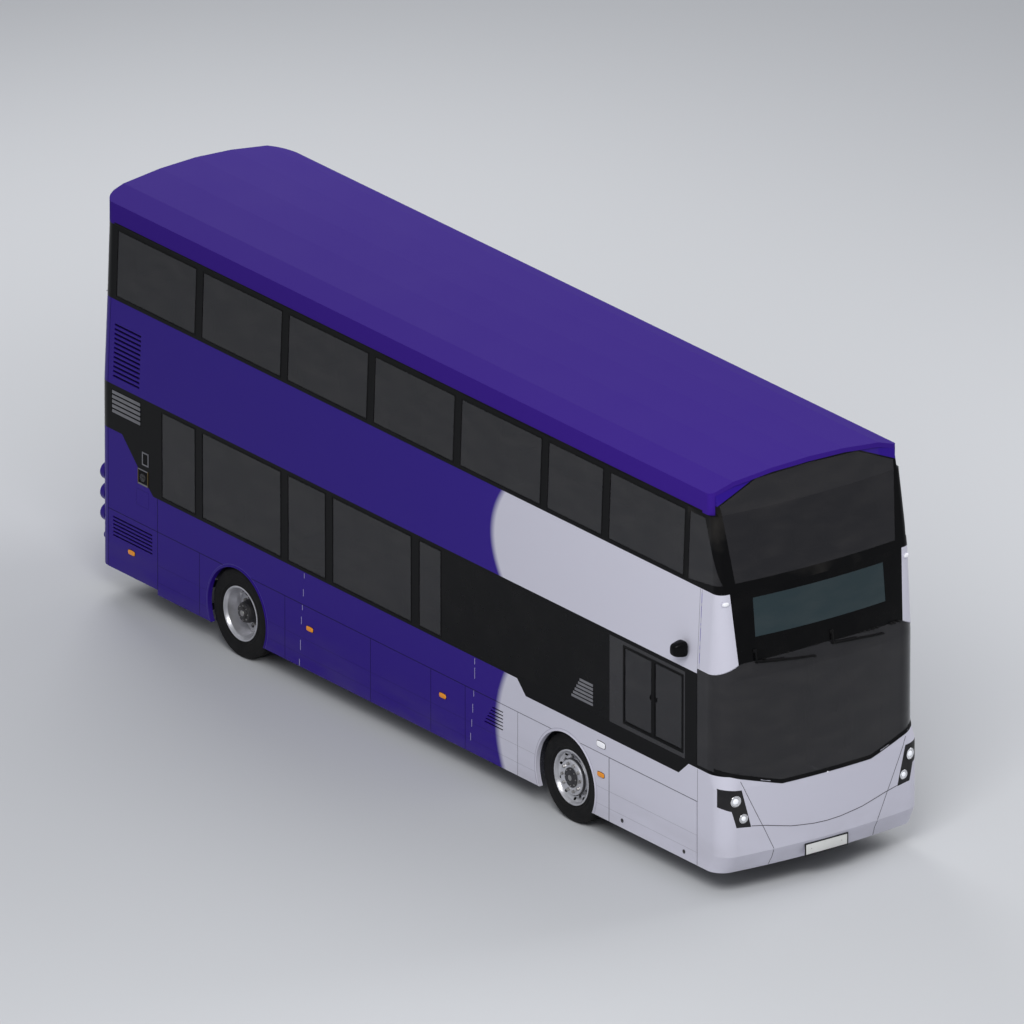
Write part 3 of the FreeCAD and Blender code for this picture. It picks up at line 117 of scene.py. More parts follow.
class Graph:
    """The node tree of one material."""

    def __init__(self, name: str) -> None:
        """Start an empty material.

        Args:
            name: the material's name.
        """
        self.material = bpy.data.materials.new(name)
        self.material.use_nodes = True
        self.tree = self.material.node_tree
        self.tree.nodes.clear()

    def node(self, kind: str, settings: dict[str, Any] | None = None, inputs: dict[Any, Any] | None = None) -> Any:
        """Add a node.

        Args:
            kind: the node's type.
            settings: properties to set first.
            inputs: values or wires by socket name or number.

        Returns:
            The node.
        """
        node = self.tree.nodes.new(kind)
        for key, value in (settings or {}).items():
            setattr(node, key, value)
        for key, value in (inputs or {}).items():
            if isinstance(value, Wire):
                self.tree.links.new(value.socket, node.inputs[key])
            else:
                node.inputs[key].default_value = value
        return node

    def out(self, node: Any, socket: Any = 0) -> Wire:
        """One output of a node as a wire."""
        return Wire(self, node.outputs[socket])

    def place(self) -> tuple[Wire, Wire, Wire]:
        """The three Object coordinates, in metres in the row frame."""
        split = self.node("ShaderNodeSeparateXYZ", None, {0: self.where()})
        return self.out(split, 0), self.out(split, 1), self.out(split, 2)

    def where(self) -> Wire:
        """Object coordinates as one vector."""
        return self.out(self.node("ShaderNodeTexCoord"), "Object")

    def noise(self, scale: float, detail: float = 3.0, stretch: Point = (1.0, 1.0, 1.0)) -> Wire:
        """Noise over the row frame.

        Args:
            scale: lumps to the metre.
            detail: levels of finer lumps.
            stretch: how much each axis is squeezed.

        Returns:
            A value about 0.5.
        """
        mapped = self.node("ShaderNodeMapping", None, {"Vector": self.where(), "Scale": stretch})
        node = self.node("ShaderNodeTexNoise", None, {
            "Vector": self.out(mapped), "Scale": scale, "Detail": detail})
        return self.out(node, "Fac")

    def blend(self, share: Any, first: Any, second: Any) -> Wire:
        """Mix two colours.

        Args:
            share: how much of the second, as a wire or a number.
            first: a colour or a wire.
            second: a colour or a wire.

        Returns:
            The mixed colour.
        """
        node = self.node("ShaderNodeMix", {"data_type": "RGBA"}, {0: share, 6: first, 7: second})
        return self.out(node, 2)

    def bump(self, height: Wire, distance: float, strength: float = 1.0) -> Wire:
        """A normal raised by a height.

        Args:
            height: 0 to 1 over the surface.
            distance: how far 1 stands out, in metres.
            strength: share of the effect.

        Returns:
            The normal.
        """
        node = self.node("ShaderNodeBump", None, {"Height": height, "Distance": distance, "Strength": strength})
        return self.out(node)

    def surface(self, sockets: dict[str, Any]) -> bpy.types.Material:
        """Finish the material with one principled shader.

        Args:
            sockets: values or wires by socket name.

        Returns:
            The material.
        """
        shader = self.node("ShaderNodeBsdfPrincipled", None, sockets)
        self.node("ShaderNodeOutputMaterial", None, {"Surface": self.out(shader)})
        return self.material


def rgb(red: float, green: float, blue: float) -> Colour:
    """A linear colour with full alpha."""
    return (red, green, blue, 1.0)


BLACK = rgb(0.002, 0.002, 0.0024)
DUST = rgb(0.16, 0.145, 0.13)
FRONT_BAND_STEP = (-1.838, -1.986, 0.149)
FRONT_BAND_RISE = (-4.568, -4.735, 0.147)
REAR_BAND_RISES = ((4.407, 4.490, 0.075), (4.490, 4.675, 0.171), (4.675, 4.946, 0.273))
SILL_Z = 1.312
BAND_TOP_Z = 2.333


class Surface:
    """What every finish can do: make its material."""

    def build(self, name: str) -> bpy.types.Material:
        """Make the material."""
        graph = Graph(name)
        return graph.surface(self.sockets(graph))


@dataclass(frozen=True)
class Livery(Surface):
    """Two-colour bus paint with a black window band, road film and fine orange peel."""

    main: Colour = rgb(0.026, 0.0065, 0.225)
    pale: Colour = rgb(0.60, 0.592, 0.68)
    rough: float = 0.38
    band: bool = True
    pale_patch: bool = True
    coat: float = 0.10
    gloss: float = 0.10

    def mask_pale(self, y: Wire, z: Wire) -> Wire:
        """The pale front part, with a soft edge that bulges to the rear.

        Args:
            y: place along the bus.
            z: height.

        Returns:
            1 inside, 0 outside.
        """
        upper = (z - 2.80) / 0.46
        lower = (z - 0.74) / 0.60
        upper_edge = -1.39 - 0.17 * upper * upper
        lower_edge = -1.50 - 0.17 * lower * lower
        pick = z > 2.2
        edge = upper_edge * pick + lower_edge * (1 - pick)
        return (y - edge).step(0.045, -0.045) * (z < 4.02)

    def mask_band(self, y: Wire, z: Wire) -> Wire:
        """The black window bands of both decks, with the steps at the front and rear.

        Args:
            y: place along the bus.
            z: height.

        Returns:
            1 inside, 0 outside.
        """
        start, stop, drop = FRONT_BAND_STEP
        low = SILL_Z - y.step(start, stop) * drop
        start, stop, lift = FRONT_BAND_RISE
        low = low + y.step(start, stop) * lift
        for start, stop, lift in REAR_BAND_RISES:
            low = low + y.step(start, stop) * lift
        lower_band = (z > low) * (z < BAND_TOP_Z)
        return lower_band.most((z > 3.2465) * (z < 4.053))

    def sockets(self, graph: Graph) -> dict[str, Any]:
        """The surface's values, by socket name.

        Args:
            graph: the material's graph.

        Returns:
            The values.
        """
        _, y, z = graph.place()
        colour: Any = self.main
        if self.pale_patch:
            colour = graph.blend(self.mask_pale(y, z), self.main, self.pale)
        rough: Any = self.rough + graph.noise(1.3) * 0.06
        coat: Any = self.coat
        if self.band:
            band = self.mask_band(y, z)
            colour = graph.blend(band, colour, BLACK)
            rough = rough - band * 0.10
            coat = (1 - band) * self.coat
        film = z.step(0.75, 0.25) * graph.noise(2.2, 5.0, (1.0, 0.5, 2.2)).step(0.35, 0.75) * 0.22
        colour = graph.blend(film, colour, DUST)
        peel = graph.noise(420.0, 2.0)
        return {"Base Color": colour, "Roughness": rough + film * 0.5, "Coat Weight": coat, "Coat Roughness": 0.08,
                "Specular IOR Level": self.gloss, "Normal": graph.bump(peel, 0.0004, 0.25)}


@dataclass(frozen=True)
class Coat(Surface):
    """A paint, plastic or metal of one colour with wear, mottling and a fine grain."""

    colour: Colour
    rough: float = 0.4
    metal: float = 0.0
    coat: float = 0.0
    grain: float = 600.0
    grain_height: float = 0.0002
    mottle: float = 0.12
    dust: float = 0.15
    gloss: float = 0.3

    def sockets(self, graph: Graph) -> dict[str, Any]:
        """The surface's values, by socket name.

        Args:
            graph: the material's graph.

        Returns:
            The values.
        """
        shade = graph.noise(7.0, 4.0)
        deep = tuple(c * (1 - self.mottle) for c in self.colour[:3]) + (1.0,)
        light = tuple(min(1.0, c * (1 + self.mottle)) for c in self.colour[:3]) + (1.0,)
        colour = graph.blend(shade.step(0.3, 0.7), deep, light)
        dirt = graph.noise(3.1, 5.0).step(0.45, 0.85) * self.dust
        colour = graph.blend(dirt, colour, DUST)
        return {"Base Color": colour, "Roughness": (shade * 0.12 + (self.rough - 0.06)) + dirt * 0.4,
                "Metallic": self.metal, "Coat Weight": self.coat, "Specular IOR Level": self.gloss,
                "Normal": graph.bump(graph.noise(self.grain, 2.0), self.grain_height)}


@dataclass(frozen=True)
class Glass(Surface):
    """Dark tinted glass that lets a little of the saloon show, with faint wipe marks."""

    colour: Colour = rgb(0.015, 0.0148, 0.0175)
    alpha: float = 0.86
    rough: float = 0.06

    def sockets(self, graph: Graph) -> dict[str, Any]:
        """The surface's values, by socket name.

        Args:
            graph: the material's graph.

        Returns:
            The values.
        """
        smear = graph.noise(2.6, 5.0, (1.0, 1.0, 3.0))
        film = smear.step(0.42, 0.8) * 0.06
        colour = graph.blend(film, self.colour, DUST)
        ripple = graph.noise(1.7, 1.0)
        return {"Base Color": colour, "Roughness": self.rough + smear.step(0.35, 0.75) * 0.05,
                "Alpha": self.alpha + film * 0.5, "Coat Weight": 0.15, "Specular IOR Level": 0.30,
                "Coat Roughness": 0.03, "IOR": 1.5, "Normal": graph.bump(ripple, 0.002, 0.12)}


@dataclass(frozen=True)
class Lens(Surface):
    """Moulded lamp lens with fine ribs under a clear coat."""

    colour: Colour
    ribs: float = 0.009
    glow: float = 0.0

    def sockets(self, graph: Graph) -> dict[str, Any]:
        """The surface's values, by socket name.

        Args:
            graph: the material's graph.

        Returns:
            The values.
        """
        x, y, z = graph.place()
        rib = abs((z / self.ribs) % 1.0 - 0.5).most(abs(((x + y) / self.ribs) % 1.0 - 0.5)) * 2
        dark = tuple(c * 0.6 for c in self.colour[:3]) + (1.0,)
        colour = graph.blend(rib, dark, self.colour)
        return {"Base Color": colour, "Roughness": 0.18 + rib * 0.1, "Coat Weight": 0.3,
                "Coat Roughness": 0.04, "Emission Color": self.colour, "Emission Strength": self.glow,
                "Normal": graph.bump(rib, 0.0012, 0.6)}


@dataclass(frozen=True)
class Rubber(Surface):
    """Tyre rubber: moulded rings on the sidewall, road dust in the tread."""

    axle_y: float
    axle_z: float = 0.4785

    def sockets(self, graph: Graph) -> dict[str, Any]:
        """The surface's values, by socket name.

        Args:
            graph: the material's graph.

        Returns:
            The values.
        """
        _, y, z = graph.place()
        across, up = y - self.axle_y, z - self.axle_z
        radius = (across * across + up * up) ** 0.5
        rings = abs((radius / 0.017) % 1.0 - 0.5) * 2
        wall = (radius < 0.445)
        dirt = graph.noise(9.0, 5.0).step(0.35, 0.8) * (0.16 + radius.step(0.43, 0.48) * 0.3)
        colour = graph.blend(dirt, rgb(0.005, 0.005, 0.0055), rgb(0.045, 0.042, 0.038))
        height = rings.step(0.72, 0.95) * wall * 0.7 + graph.noise(300.0, 2.0) * 0.3
        return {"Base Color": colour, "Roughness": 0.68 + dirt * 0.2,
                "Specular IOR Level": 0.2, "Normal": graph.bump(height, 0.0016, 0.8)}


@dataclass(frozen=True)
class Moquette(Surface):
    """Woven seat cloth with a small scattered block pattern."""

    ground: Colour = rgb(0.020, 0.012, 0.09)
    fleck: Colour = rgb(0.20, 0.14, 0.42)

    def sockets(self, graph: Graph) -> dict[str, Any]:
        """The surface's values, by socket name.

        Args:
            graph: the material's graph.

        Returns:
            The values.
        """
        x, y, z = graph.place()
        along = y + z * 0.8
        cell = graph.node("ShaderNodeTexVoronoi", {"feature": "F1", "distance": "CHEBYCHEV"},
                          {"Vector": graph.where(), "Scale": 22.0, "Randomness": 0.8})
        block = graph.out(cell, "Distance").step(0.34, 0.28)
        weave = abs((x * 260.0) % 1.0 - 0.5) + abs((along * 260.0) % 1.0 - 0.5)
        worn = graph.noise(3.0, 4.0).step(0.4, 0.8) * 0.2
        colour = graph.blend(block * 0.8, self.ground, self.fleck)
        colour = graph.blend(worn, colour, DUST)
        return {"Base Color": colour, "Roughness": 0.9, "Sheen Weight": 0.3,
                "Normal": graph.bump(weave, 0.0008, 0.7)}


@dataclass(frozen=True)
class Flooring(Surface):
    """Speckled safety floor with dirt walked into it."""

    ground: Colour = rgb(0.055, 0.057, 0.075)
    speck: Colour = rgb(0.35, 0.35, 0.40)

    def sockets(self, graph: Graph) -> dict[str, Any]:
        """The surface's values, by socket name.

        Args:
            graph: the material's graph.

        Returns:
            The values.
        """
        specks = graph.noise(260.0, 1.0).step(0.64, 0.67)
        dirt = graph.noise(1.4, 5.0).step(0.4, 0.8) * 0.3
        colour = graph.blend(dirt, graph.blend(specks, self.ground, self.speck), DUST)
        return {"Base Color": colour, "Roughness": 0.55 + dirt * 0.3, "Normal": graph.bump(specks, 0.0006, 0.5)}


@dataclass(frozen=True)
class Fascia(Surface):
    """Black frame round the upper windscreen with a strip of body colour over it."""

    main: Colour = rgb(0.026, 0.0065, 0.225)
    rough: float = 0.34

    def sockets(self, graph: Graph) -> dict[str, Any]:
        """The surface's values, by socket name.

        Args:
            graph: the material's graph.

        Returns:
            The values.
        """
        x, _, z = graph.place()
        wide = abs(x)
        above = (z - (4.388 - wide * 0.044)).most(z - (4.360 - (wide - 0.637) * 0.432)) > 0.0
        worn = graph.noise(2.4, 5.0).step(0.5, 0.85) * 0.15
        colour = graph.blend(worn, graph.blend(above, BLACK, self.main), DUST)
        return {"Base Color": colour, "Roughness": self.rough + graph.noise(1.3) * 0.08, "Specular IOR Level": 0.10,
                "Normal": graph.bump(graph.noise(420.0, 2.0), 0.0004, 0.25)}


SLOTS = {
    "body_paint": ("LIVERY_TRIM", "SEAM_BOTH", "SEAM_FAINT", "BEAD"),
    "pale_paint": ("FRONT", "SEAM_PALE", "SEALANT"),
    "lamp_plastic": ("AMBER", "LAMP_WHITE", "CHROME"), "tinted_glass": ("CLEAR",), "seat_fabric": ("MOQUETTE",),
    "wheel_metal": ("WHEEL", "WHEEL_DARK", "STUD", "BRASS", "GRILLE_BLACK"), "interior_plastic": ("LOUVRE_GREY",),
    "plate_plastic": ("PLATE_WHITE", "PLATE_YELLOW"), "handrail_paint": ("RAIL_YELLOW",)}


class Finish(Enum):
    """Every finish on the bus."""

    LIVERY = Livery()
    # The roof takes the body's indigo made lighter and more purple: painted warm light on the top.
    ROOF = Livery(main=rgb(0.036, 0.0095, 0.225), band=False, pale_patch=False, rough=0.72, coat=0.0)
    FRONT = Livery(band=False)
    FASCIA = Fascia()
    BLACK_GLOSS = Coat(rgb(0.002, 0.002, 0.0024), rough=0.26, coat=0.0, grain=300.0, dust=0.02, gloss=0.10)
    # Flat matt black: painted shade, set in the grille slots and the wheel hand holes where only shade would show.
    GRILLE_BLACK = Coat(rgb(0.003, 0.003, 0.003), rough=0.9, coat=0.0, grain=300.0, dust=0.0, gloss=0.05)
    GLASS = Glass()
    SCREEN = Glass(colour=rgb(0.017, 0.0165, 0.019), alpha=0.88)
    DISPLAY = Glass(colour=rgb(0.018, 0.034, 0.040), alpha=0.96)
    DOOR_GLASS = Glass(alpha=0.78)
    AMBER = Lens(rgb(0.80, 0.27, 0.0), glow=0.15)
    RED = Lens(rgb(0.55, 0.012, 0.01), glow=0.1)
    CLEAR = Lens(rgb(0.85, 0.87, 0.92), glow=0.35)
    LAMP_WHITE = Lens(rgb(0.80, 0.80, 0.84), glow=0.30)
    FRONT_TYRE = Rubber(-2.664)
    REAR_TYRE = Rubber(2.955)
    WHEEL = Coat(rgb(0.66, 0.66, 0.69), rough=0.30, metal=0.75, grain=180.0, dust=0.16)
    WHEEL_DARK = Coat(rgb(0.022, 0.022, 0.025), rough=0.42, coat=0.2, dust=0.22)
    STUD = Coat(rgb(0.42, 0.41, 0.40), rough=0.32, metal=1.0, grain=250.0, dust=0.2)
    RUBBER_TRIM = Coat(rgb(0.004, 0.004, 0.0045), rough=0.62, grain=700.0, dust=0.04, gloss=0.10)
    SEAM_PALE = Coat(rgb(0.07, 0.068, 0.08), rough=0.55, dust=0.1)
    STITCH = Coat(rgb(0.11, 0.09, 0.36), rough=0.5, dust=0.1)
    LIVERY_TRIM = Livery(band=False, rough=0.3)
    SEAM_BOTH = Livery(main=rgb(0.004, 0.002, 0.035), pale=rgb(0.13, 0.128, 0.15), band=False, rough=0.5)
    SEAM_FAINT = Livery(main=rgb(0.022, 0.008, 0.17), pale=rgb(0.42, 0.415, 0.47), band=False, rough=0.45)
    SEALANT = Coat(rgb(0.55, 0.54, 0.68), rough=0.6, dust=0.1)
    BEAD = Livery(main=rgb(0.085, 0.065, 0.33), pale=rgb(0.40, 0.39, 0.46), band=False, rough=0.4)
    PLASTIC = Coat(rgb(0.014, 0.014, 0.016), rough=0.5, grain=900.0, grain_height=0.0003, dust=0.08, gloss=0.2)
    PLASTIC_GREY = Coat(rgb(0.20, 0.20, 0.215), rough=0.5, grain=900.0, grain_height=0.0003)
    WINDOW_GREY = Coat(rgb(0.020, 0.0195, 0.022), rough=0.18, coat=0.1, grain=300.0, mottle=0.04, dust=0.04)
    BRASS = Coat(rgb(0.13, 0.09, 0.028), rough=0.35, metal=0.6, grain=250.0)
    LOUVRE_GREY = Coat(rgb(0.15, 0.15, 0.165), rough=0.4, coat=0.3, dust=0.1)
    LINING = Coat(rgb(0.42, 0.42, 0.44), rough=0.6, grain=500.0)
    CHASSIS = Coat(rgb(0.020, 0.020, 0.022), rough=0.6, grain=240.0, grain_height=0.0006, dust=0.45)
    ENGINE = Coat(rgb(0.09, 0.09, 0.095), rough=0.5, metal=0.4, grain=200.0, dust=0.4)
    RAIL_YELLOW = Coat(rgb(0.72, 0.42, 0.015), rough=0.35, coat=0.4)
    CHROME = Coat(rgb(0.80, 0.80, 0.82), rough=0.10, metal=1.0, grain=120.0, dust=0.05)
    PLATE_WHITE = Coat(rgb(0.72, 0.72, 0.70), rough=0.35, coat=0.4, mottle=0.03, dust=0.1)
    PLATE_YELLOW = Coat(rgb(0.75, 0.50, 0.03), rough=0.35, coat=0.4, mottle=0.03, dust=0.1)
    MOQUETTE = Moquette()
    FLOORING = Flooring()

    def material(self) -> bpy.types.Material:
        """The material of this finish, made the first time that it is asked for."""
        name = self.name.lower()
        return bpy.data.materials.get(name) or self.value.build(name)

    def slot(self) -> str:
        """The record's material slot that pieces of this finish go to."""
        return next((slot for slot, names in SLOTS.items() if self.name in names), "black_trim")


def select_only(*objects: Piece) -> None:
    """Deselect everything, then select these and make the first one active.

    Args:
        objects: what to select.
    """
    bpy.ops.object.select_all(action="DESELECT")
    for item in objects:
        item.select_set(True)
    bpy.context.view_layer.objects.active = objects[0]


@contextmanager
def editing(item: Piece, mode: str = "VERT") -> Iterator[None]:
    """Edit mode on one object, with everything in it selected.

    Args:
        item: the object.
        mode: the kind of element selected.

    Yields:
        Nothing.
    """
    select_only(item)
    bpy.ops.object.mode_set(mode="EDIT")
    bpy.ops.mesh.select_mode(type=mode)
    bpy.ops.mesh.select_all(action="SELECT")
    yield
    bpy.ops.object.mode_set(mode="OBJECT")


def modified(item: Piece, kind: str, **settings: Any) -> None:
    """Add a modifier with these settings and apply it.

    Args:
        item: the object.
        kind: the modifier's type.
        settings: its properties.
    """
    modifier = item.modifiers.new("shaping", kind)
    for key, value in settings.items():
        setattr(modifier, key, value)
    select_only(item)
    bpy.ops.object.modifier_apply(modifier="shaping")


def settle(item: Piece) -> None:
    """Move an object's place, turn and scale into its mesh."""
    select_only(item)
    bpy.ops.object.transform_apply(location=True, rotation=True, scale=True)


def block(low: Sequence[float], high: Sequence[float], bevel: float = 0.0, segments: int = 2) -> Piece:
    """A block between two corners with its edges rounded.

    Args:
        low: lowest corner.
        high: highest corner.
        bevel: width of the rounded edges.
        segments: steps round each edge.

    Returns:
        The new object.
    """
    low, high = Vector(low), Vector(high)
    bpy.ops.object.select_all(action="DESELECT")
    bpy.ops.mesh.primitive_cube_add(size=1.0, location=(low + high) / 2)
    item = bpy.context.active_object
    item.scale = high - low
    settle(item)
    if bevel:
        with editing(item, "EDGE"):
            bpy.ops.mesh.bevel(offset=bevel, segments=segments, affect="EDGES")
    return item


def bar(start: Sequence[float], stop: Sequence[float], radius: float, sides: int = 16, bevel: float = 0.0) -> Piece:
    """A round bar between two points.

    Args:
        start: the middle of one end.
        stop: the middle of the other end.
        radius: the bar's radius.
        sides: steps round it.
        bevel: width of the rounded rims at its ends.

    Returns:
        The new object.
    """
    start, stop = Vector(start), Vector(stop)
    bpy.ops.object.select_all(action="DESELECT")
    bpy.ops.mesh.primitive_cylinder_add(vertices=sides, radius=radius, depth=(stop - start).length)
    item = bpy.context.active_object
    item.matrix_world = (Matrix.Translation((start + stop) / 2)
                         @ (stop - start).to_track_quat("Z", "Y").to_matrix().to_4x4())
    settle(item)
    if bevel:
        with editing(item, "EDGE"):
            bpy.ops.mesh.select_all(action="DESELECT")
            bpy.ops.object.mode_set(mode="OBJECT")
            axis = (stop - start).normalized()
            for edge in item.data.edges:
                ends = [item.data.vertices[v].co for v in edge.vertices]
                edge.select = abs((ends[1] - ends[0]).normalized().dot(axis)) < 0.1
            bpy.ops.object.mode_set(mode="EDIT")
            bpy.ops.mesh.bevel(offset=bevel, segments=2, affect="EDGES")
    return item


def twin_of(item: Piece, move: Matrix = Matrix()) -> Piece:
    """A moved copy of an object, with its own mesh.

    Args:
        item: the object.
        move: how the copy is moved.

    Returns:
        The copy.
    """
    twin = item.copy()
    twin.data = item.data.copy()
    twin.data.transform(move)
    bpy.context.collection.objects.link(twin)
    return twin


def copies(item: Piece, moves: Sequence[Matrix]) -> Piece:
    """Copy a settled object, one copy for each move, and join them all.

    Args:
        item: the object to copy. It becomes the first copy.
        moves: a matrix for each copy.

    Returns:
        One joined object.
    """
    made = [twin_of(item, move) for move in moves[1:]]
    item.data.transform(moves[0])
    return join([item] + made)


def join(items: Sequence[Piece]) -> Piece:
    """Join objects to the first one.

    Args:
        items: the objects.

    Returns:
        The first one.
    """
    if len(items) > 1:
        select_only(*items)
        bpy.ops.object.join()
    return items[0]


def mirrored(item: Piece) -> Piece:
    """Add the mirror image across the middle line, as one object.

    Args:
        item: one side's piece.

    Returns:
        Both sides' piece.
    """
    twin = twin_of(item, Matrix.Scale(-1, 4, (1, 0, 0)))
    with editing(twin):
        bpy.ops.mesh.normals_make_consistent(inside=False)
    return join([item, twin])


def polygon(corners: Sequence[Any], fill: str = "NGON") -> Piece:
    """A flat polygon with the given corners, in order.

    Args:
        corners: its corners.
        fill: NGON, or NOTHING for the outline only.

    Returns:
        The new object.
    """
    bpy.ops.object.select_all(action="DESELECT")
    bpy.ops.mesh.primitive_circle_add(vertices=len(corners), radius=1.0, fill_type=fill)
    item = bpy.context.active_object
    for vertex, corner in zip(item.data.vertices, corners):
        vertex.co = corner
    item.data.update()
    return item


def upright(y: float, low: Spot, high: Spot) -> list[Point]:
    """The corners of an upright oblong across the bus, from its low and high (x, z) corners."""
    return [(low[0], y, low[1]), (high[0], y, low[1]), (high[0], y, high[1]), (low[0], y, high[1])]


def plate(outline: Points, push: Sequence[float], bevel: float = 0.0) -> Piece:
    """A flat outline pushed out to a solid sheet.

    Args:
        outline: corners in order.
        push: the way and distance that it is pushed.
        bevel: width of the rounded edges.

    Returns:
        The new object.
    """
    item = polygon(outline)
    with editing(item, "FACE"):
        bpy.ops.mesh.extrude_region_move(TRANSFORM_OT_translate={"value": tuple(push)})
        bpy.ops.mesh.select_all(action="SELECT")
        bpy.ops.mesh.normals_make_consistent(inside=False)
    if bevel:
        with editing(item, "EDGE"):
            bpy.ops.mesh.bevel(offset=bevel, segments=2, affect="EDGES")
    return item


def dress(item: Piece | list[Piece], name: str, finish: Finish, body: str = "root", slot: str = "",
          smooth: float = 35.0, stands_for: Sequence[str] = ()) -> Piece:
    """Name a piece, give it its finish and let it ride.

    Args:
        item: the finished mesh in place, or a list of meshes to join.
        name: the piece's name.
        finish: what it is made of.
        body: the body that it moves with.
        slot: the record's material slot, if it isn't the finish's own; not used.
        smooth: edges sharper than this stay sharp, in degrees.
        stands_for: CAD nodes that it replaces.

    Returns:
        The piece.
    """
    item = join(item) if isinstance(item, list) else item
    item.name = item.data.name = name
    item.data.materials.clear()
    item.data.materials.append(finish.material())
    select_only(item)
    bpy.ops.object.shade_smooth_by_angle(angle=math.radians(smooth))
    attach(item, body)
    slot or finish.slot()
    if stands_for:
        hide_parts(*stands_for)
    LOG.info("%s: %d faces on %s", name, len(item.data.polygons), body)
    return item


@dataclass
class Studio:
    """Pale floor, soft lights and a long lens at the photograph's angle."""

    azimuth: float = -36.57
    elevation: float = 21.47
    aim: Point = (0.0139, -0.0493, 2.2565)
    frame_width: float = 10.399
    lens: float = 1440.0
    sensor: float = 36.0
    floor_size: float = 160.0
    world: Colour = rgb(0.80, 0.82, 0.86)
    world_strength: float = 0.56
    lamp_size: float = 9.0
    lamp_aim: Point = (0.0, 0.0, 2.0)
    lamps: tuple[tuple[str, Point, float], ...] = (
        ("key", (-11.0, -14.0, 15.0), 2200.0), ("fill", (15.0, -4.0, 11.0), 1000.0),
        ("back", (6.0, 16.0, 13.0), 1200.0))

    def camera(self) -> None:
        """Place the camera."""
        data = bpy.data.cameras.new("camera")
        data.lens = self.lens
        data.sensor_width = self.sensor
        distance = self.frame_width * self.lens / self.sensor
        data.clip_start = 1.0
        data.clip_end = distance * 4
        item = bpy.data.objects.new("camera", data)
        bpy.context.scene.collection.objects.link(item)
        turn, lift = math.radians(self.azimuth), math.radians(self.elevation)
        back = Vector((math.sin(turn) * math.cos(lift), -math.cos(turn) * math.cos(lift), math.sin(lift)))
        item.location = Vector(self.aim) + back * distance
        item.rotation_euler = back.to_track_quat("Z", "Y").to_euler()
        bpy.context.scene.camera = item

    def floor(self) -> None:
        """A plain pale floor that isn't part of the bus."""
        bpy.ops.object.select_all(action="DESELECT")
        bpy.ops.mesh.primitive_plane_add(size=self.floor_size, location=(0, 0, -0.001))
        item = bpy.context.active_object
        item.name = "floor"
        graph = Graph("floor_paint")
        item.data.materials.append(graph.surface({"Base Color": rgb(0.60, 0.61, 0.63),
                                                  "Roughness": 0.85, "Specular IOR Level": 0.2}))

    def lights(self) -> None:
        """The key, fill and back lights, and a soft world."""
        world = bpy.data.worlds.new("world")
        bpy.context.scene.world = world
        world.use_nodes = True
        sky = world.node_tree.nodes["Background"].inputs
        sky["Color"].default_value = self.world
        sky["Strength"].default_value = self.world_strength
        for name, spot, power in self.lamps:
            data = bpy.data.lights.new(name, "AREA")
            data.size = self.lamp_size
            data.energy = power
            item = bpy.data.objects.new(name, data)
            bpy.context.scene.collection.objects.link(item)
            item.location = spot
            aim = Vector(self.lamp_aim) - Vector(spot)
            item.rotation_euler = aim.to_track_quat("-Z", "Y").to_euler()

    def build(self) -> None:
        """Set up the whole studio."""
        self.camera()
        self.floor()
        self.lights()
        bpy.context.scene.view_settings.view_transform = "Standard"


def both_sides(*patterns: str) -> tuple[str, ...]:
    """Each node name for the driver's side and for the kerb side."""
    return tuple(pattern.format(side) for pattern in patterns for side in ("offside", "nearside"))


@dataclass
class PanelDresser:
    """Gives each piece of the frame that stays in view its finish."""

    finishes: dict[Finish, tuple[str, ...]] = field(default_factory=lambda: {
        Finish.LIVERY: (*both_sides("{}_skirt", "{}_lower_side", "{}_mid_panel", "{}_upper_side"),
                        "offside_service_flap", "front_lower_panel", "front_corner_mouldings",
                        "rear_lower_panel", "rear_upper_panel", "engine_hatch", "side_louvres"),
        Finish.ROOF: ("roof",),
        Finish.FASCIA: ("front_upper_frame",),
        Finish.BLACK_GLOSS: ("front_display_panel", "staircase_outer_panel"),
        Finish.GLASS: ("lower_windows", "upper_windows"),
        Finish.SCREEN: ("lower_windscreen", "upper_windscreen"),
        Finish.DISPLAY: ("destination_glass",),
        Finish.DOOR_GLASS: ("front_door_glass", "rear_door_glass"),
        Finish.WINDOW_GREY: ("driver_window_frame",),
        Finish.PLASTIC: ("mirror_pods", "wipers", "driver_cab", "steering_wheel", "front_door_leaf",
                         "rear_door_leaf", "headlamps"),
        Finish.PLASTIC_GREY: ("seat_frames",),
        Finish.LINING: ("staircase",),
        Finish.FLOORING: ("lower_floor", "upper_floor"),
        Finish.RAIL_YELLOW: ("handrails", "front_door_post", "rear_door_post"),
        Finish.CHASSIS: ("underframe", "front_axle", "rear_axle", *both_sides("{}_knuckle")),
        Finish.ENGINE: ("power_unit",),
        Finish.MOQUETTE: ("seat_pads", "driver_seat"),
        Finish.FRONT_TYRE: both_sides("front_{}_tyre"),
        Finish.REAR_TYRE: both_sides("rear_{}_tyres"),
        Finish.WHEEL: both_sides("front_{}_rim", "rear_{}_rim"),
        Finish.AMBER: ("marker_lamps", "rear_lamps"),
        Finish.PLATE_WHITE: ("number_plates",),
    })

    def build(self) -> None:
        """Assign the materials."""
        for finish, names in self.finishes.items():
            for name in names:
                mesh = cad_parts[name].data
                mesh.materials.clear()
                mesh.materials.append(finish.material())


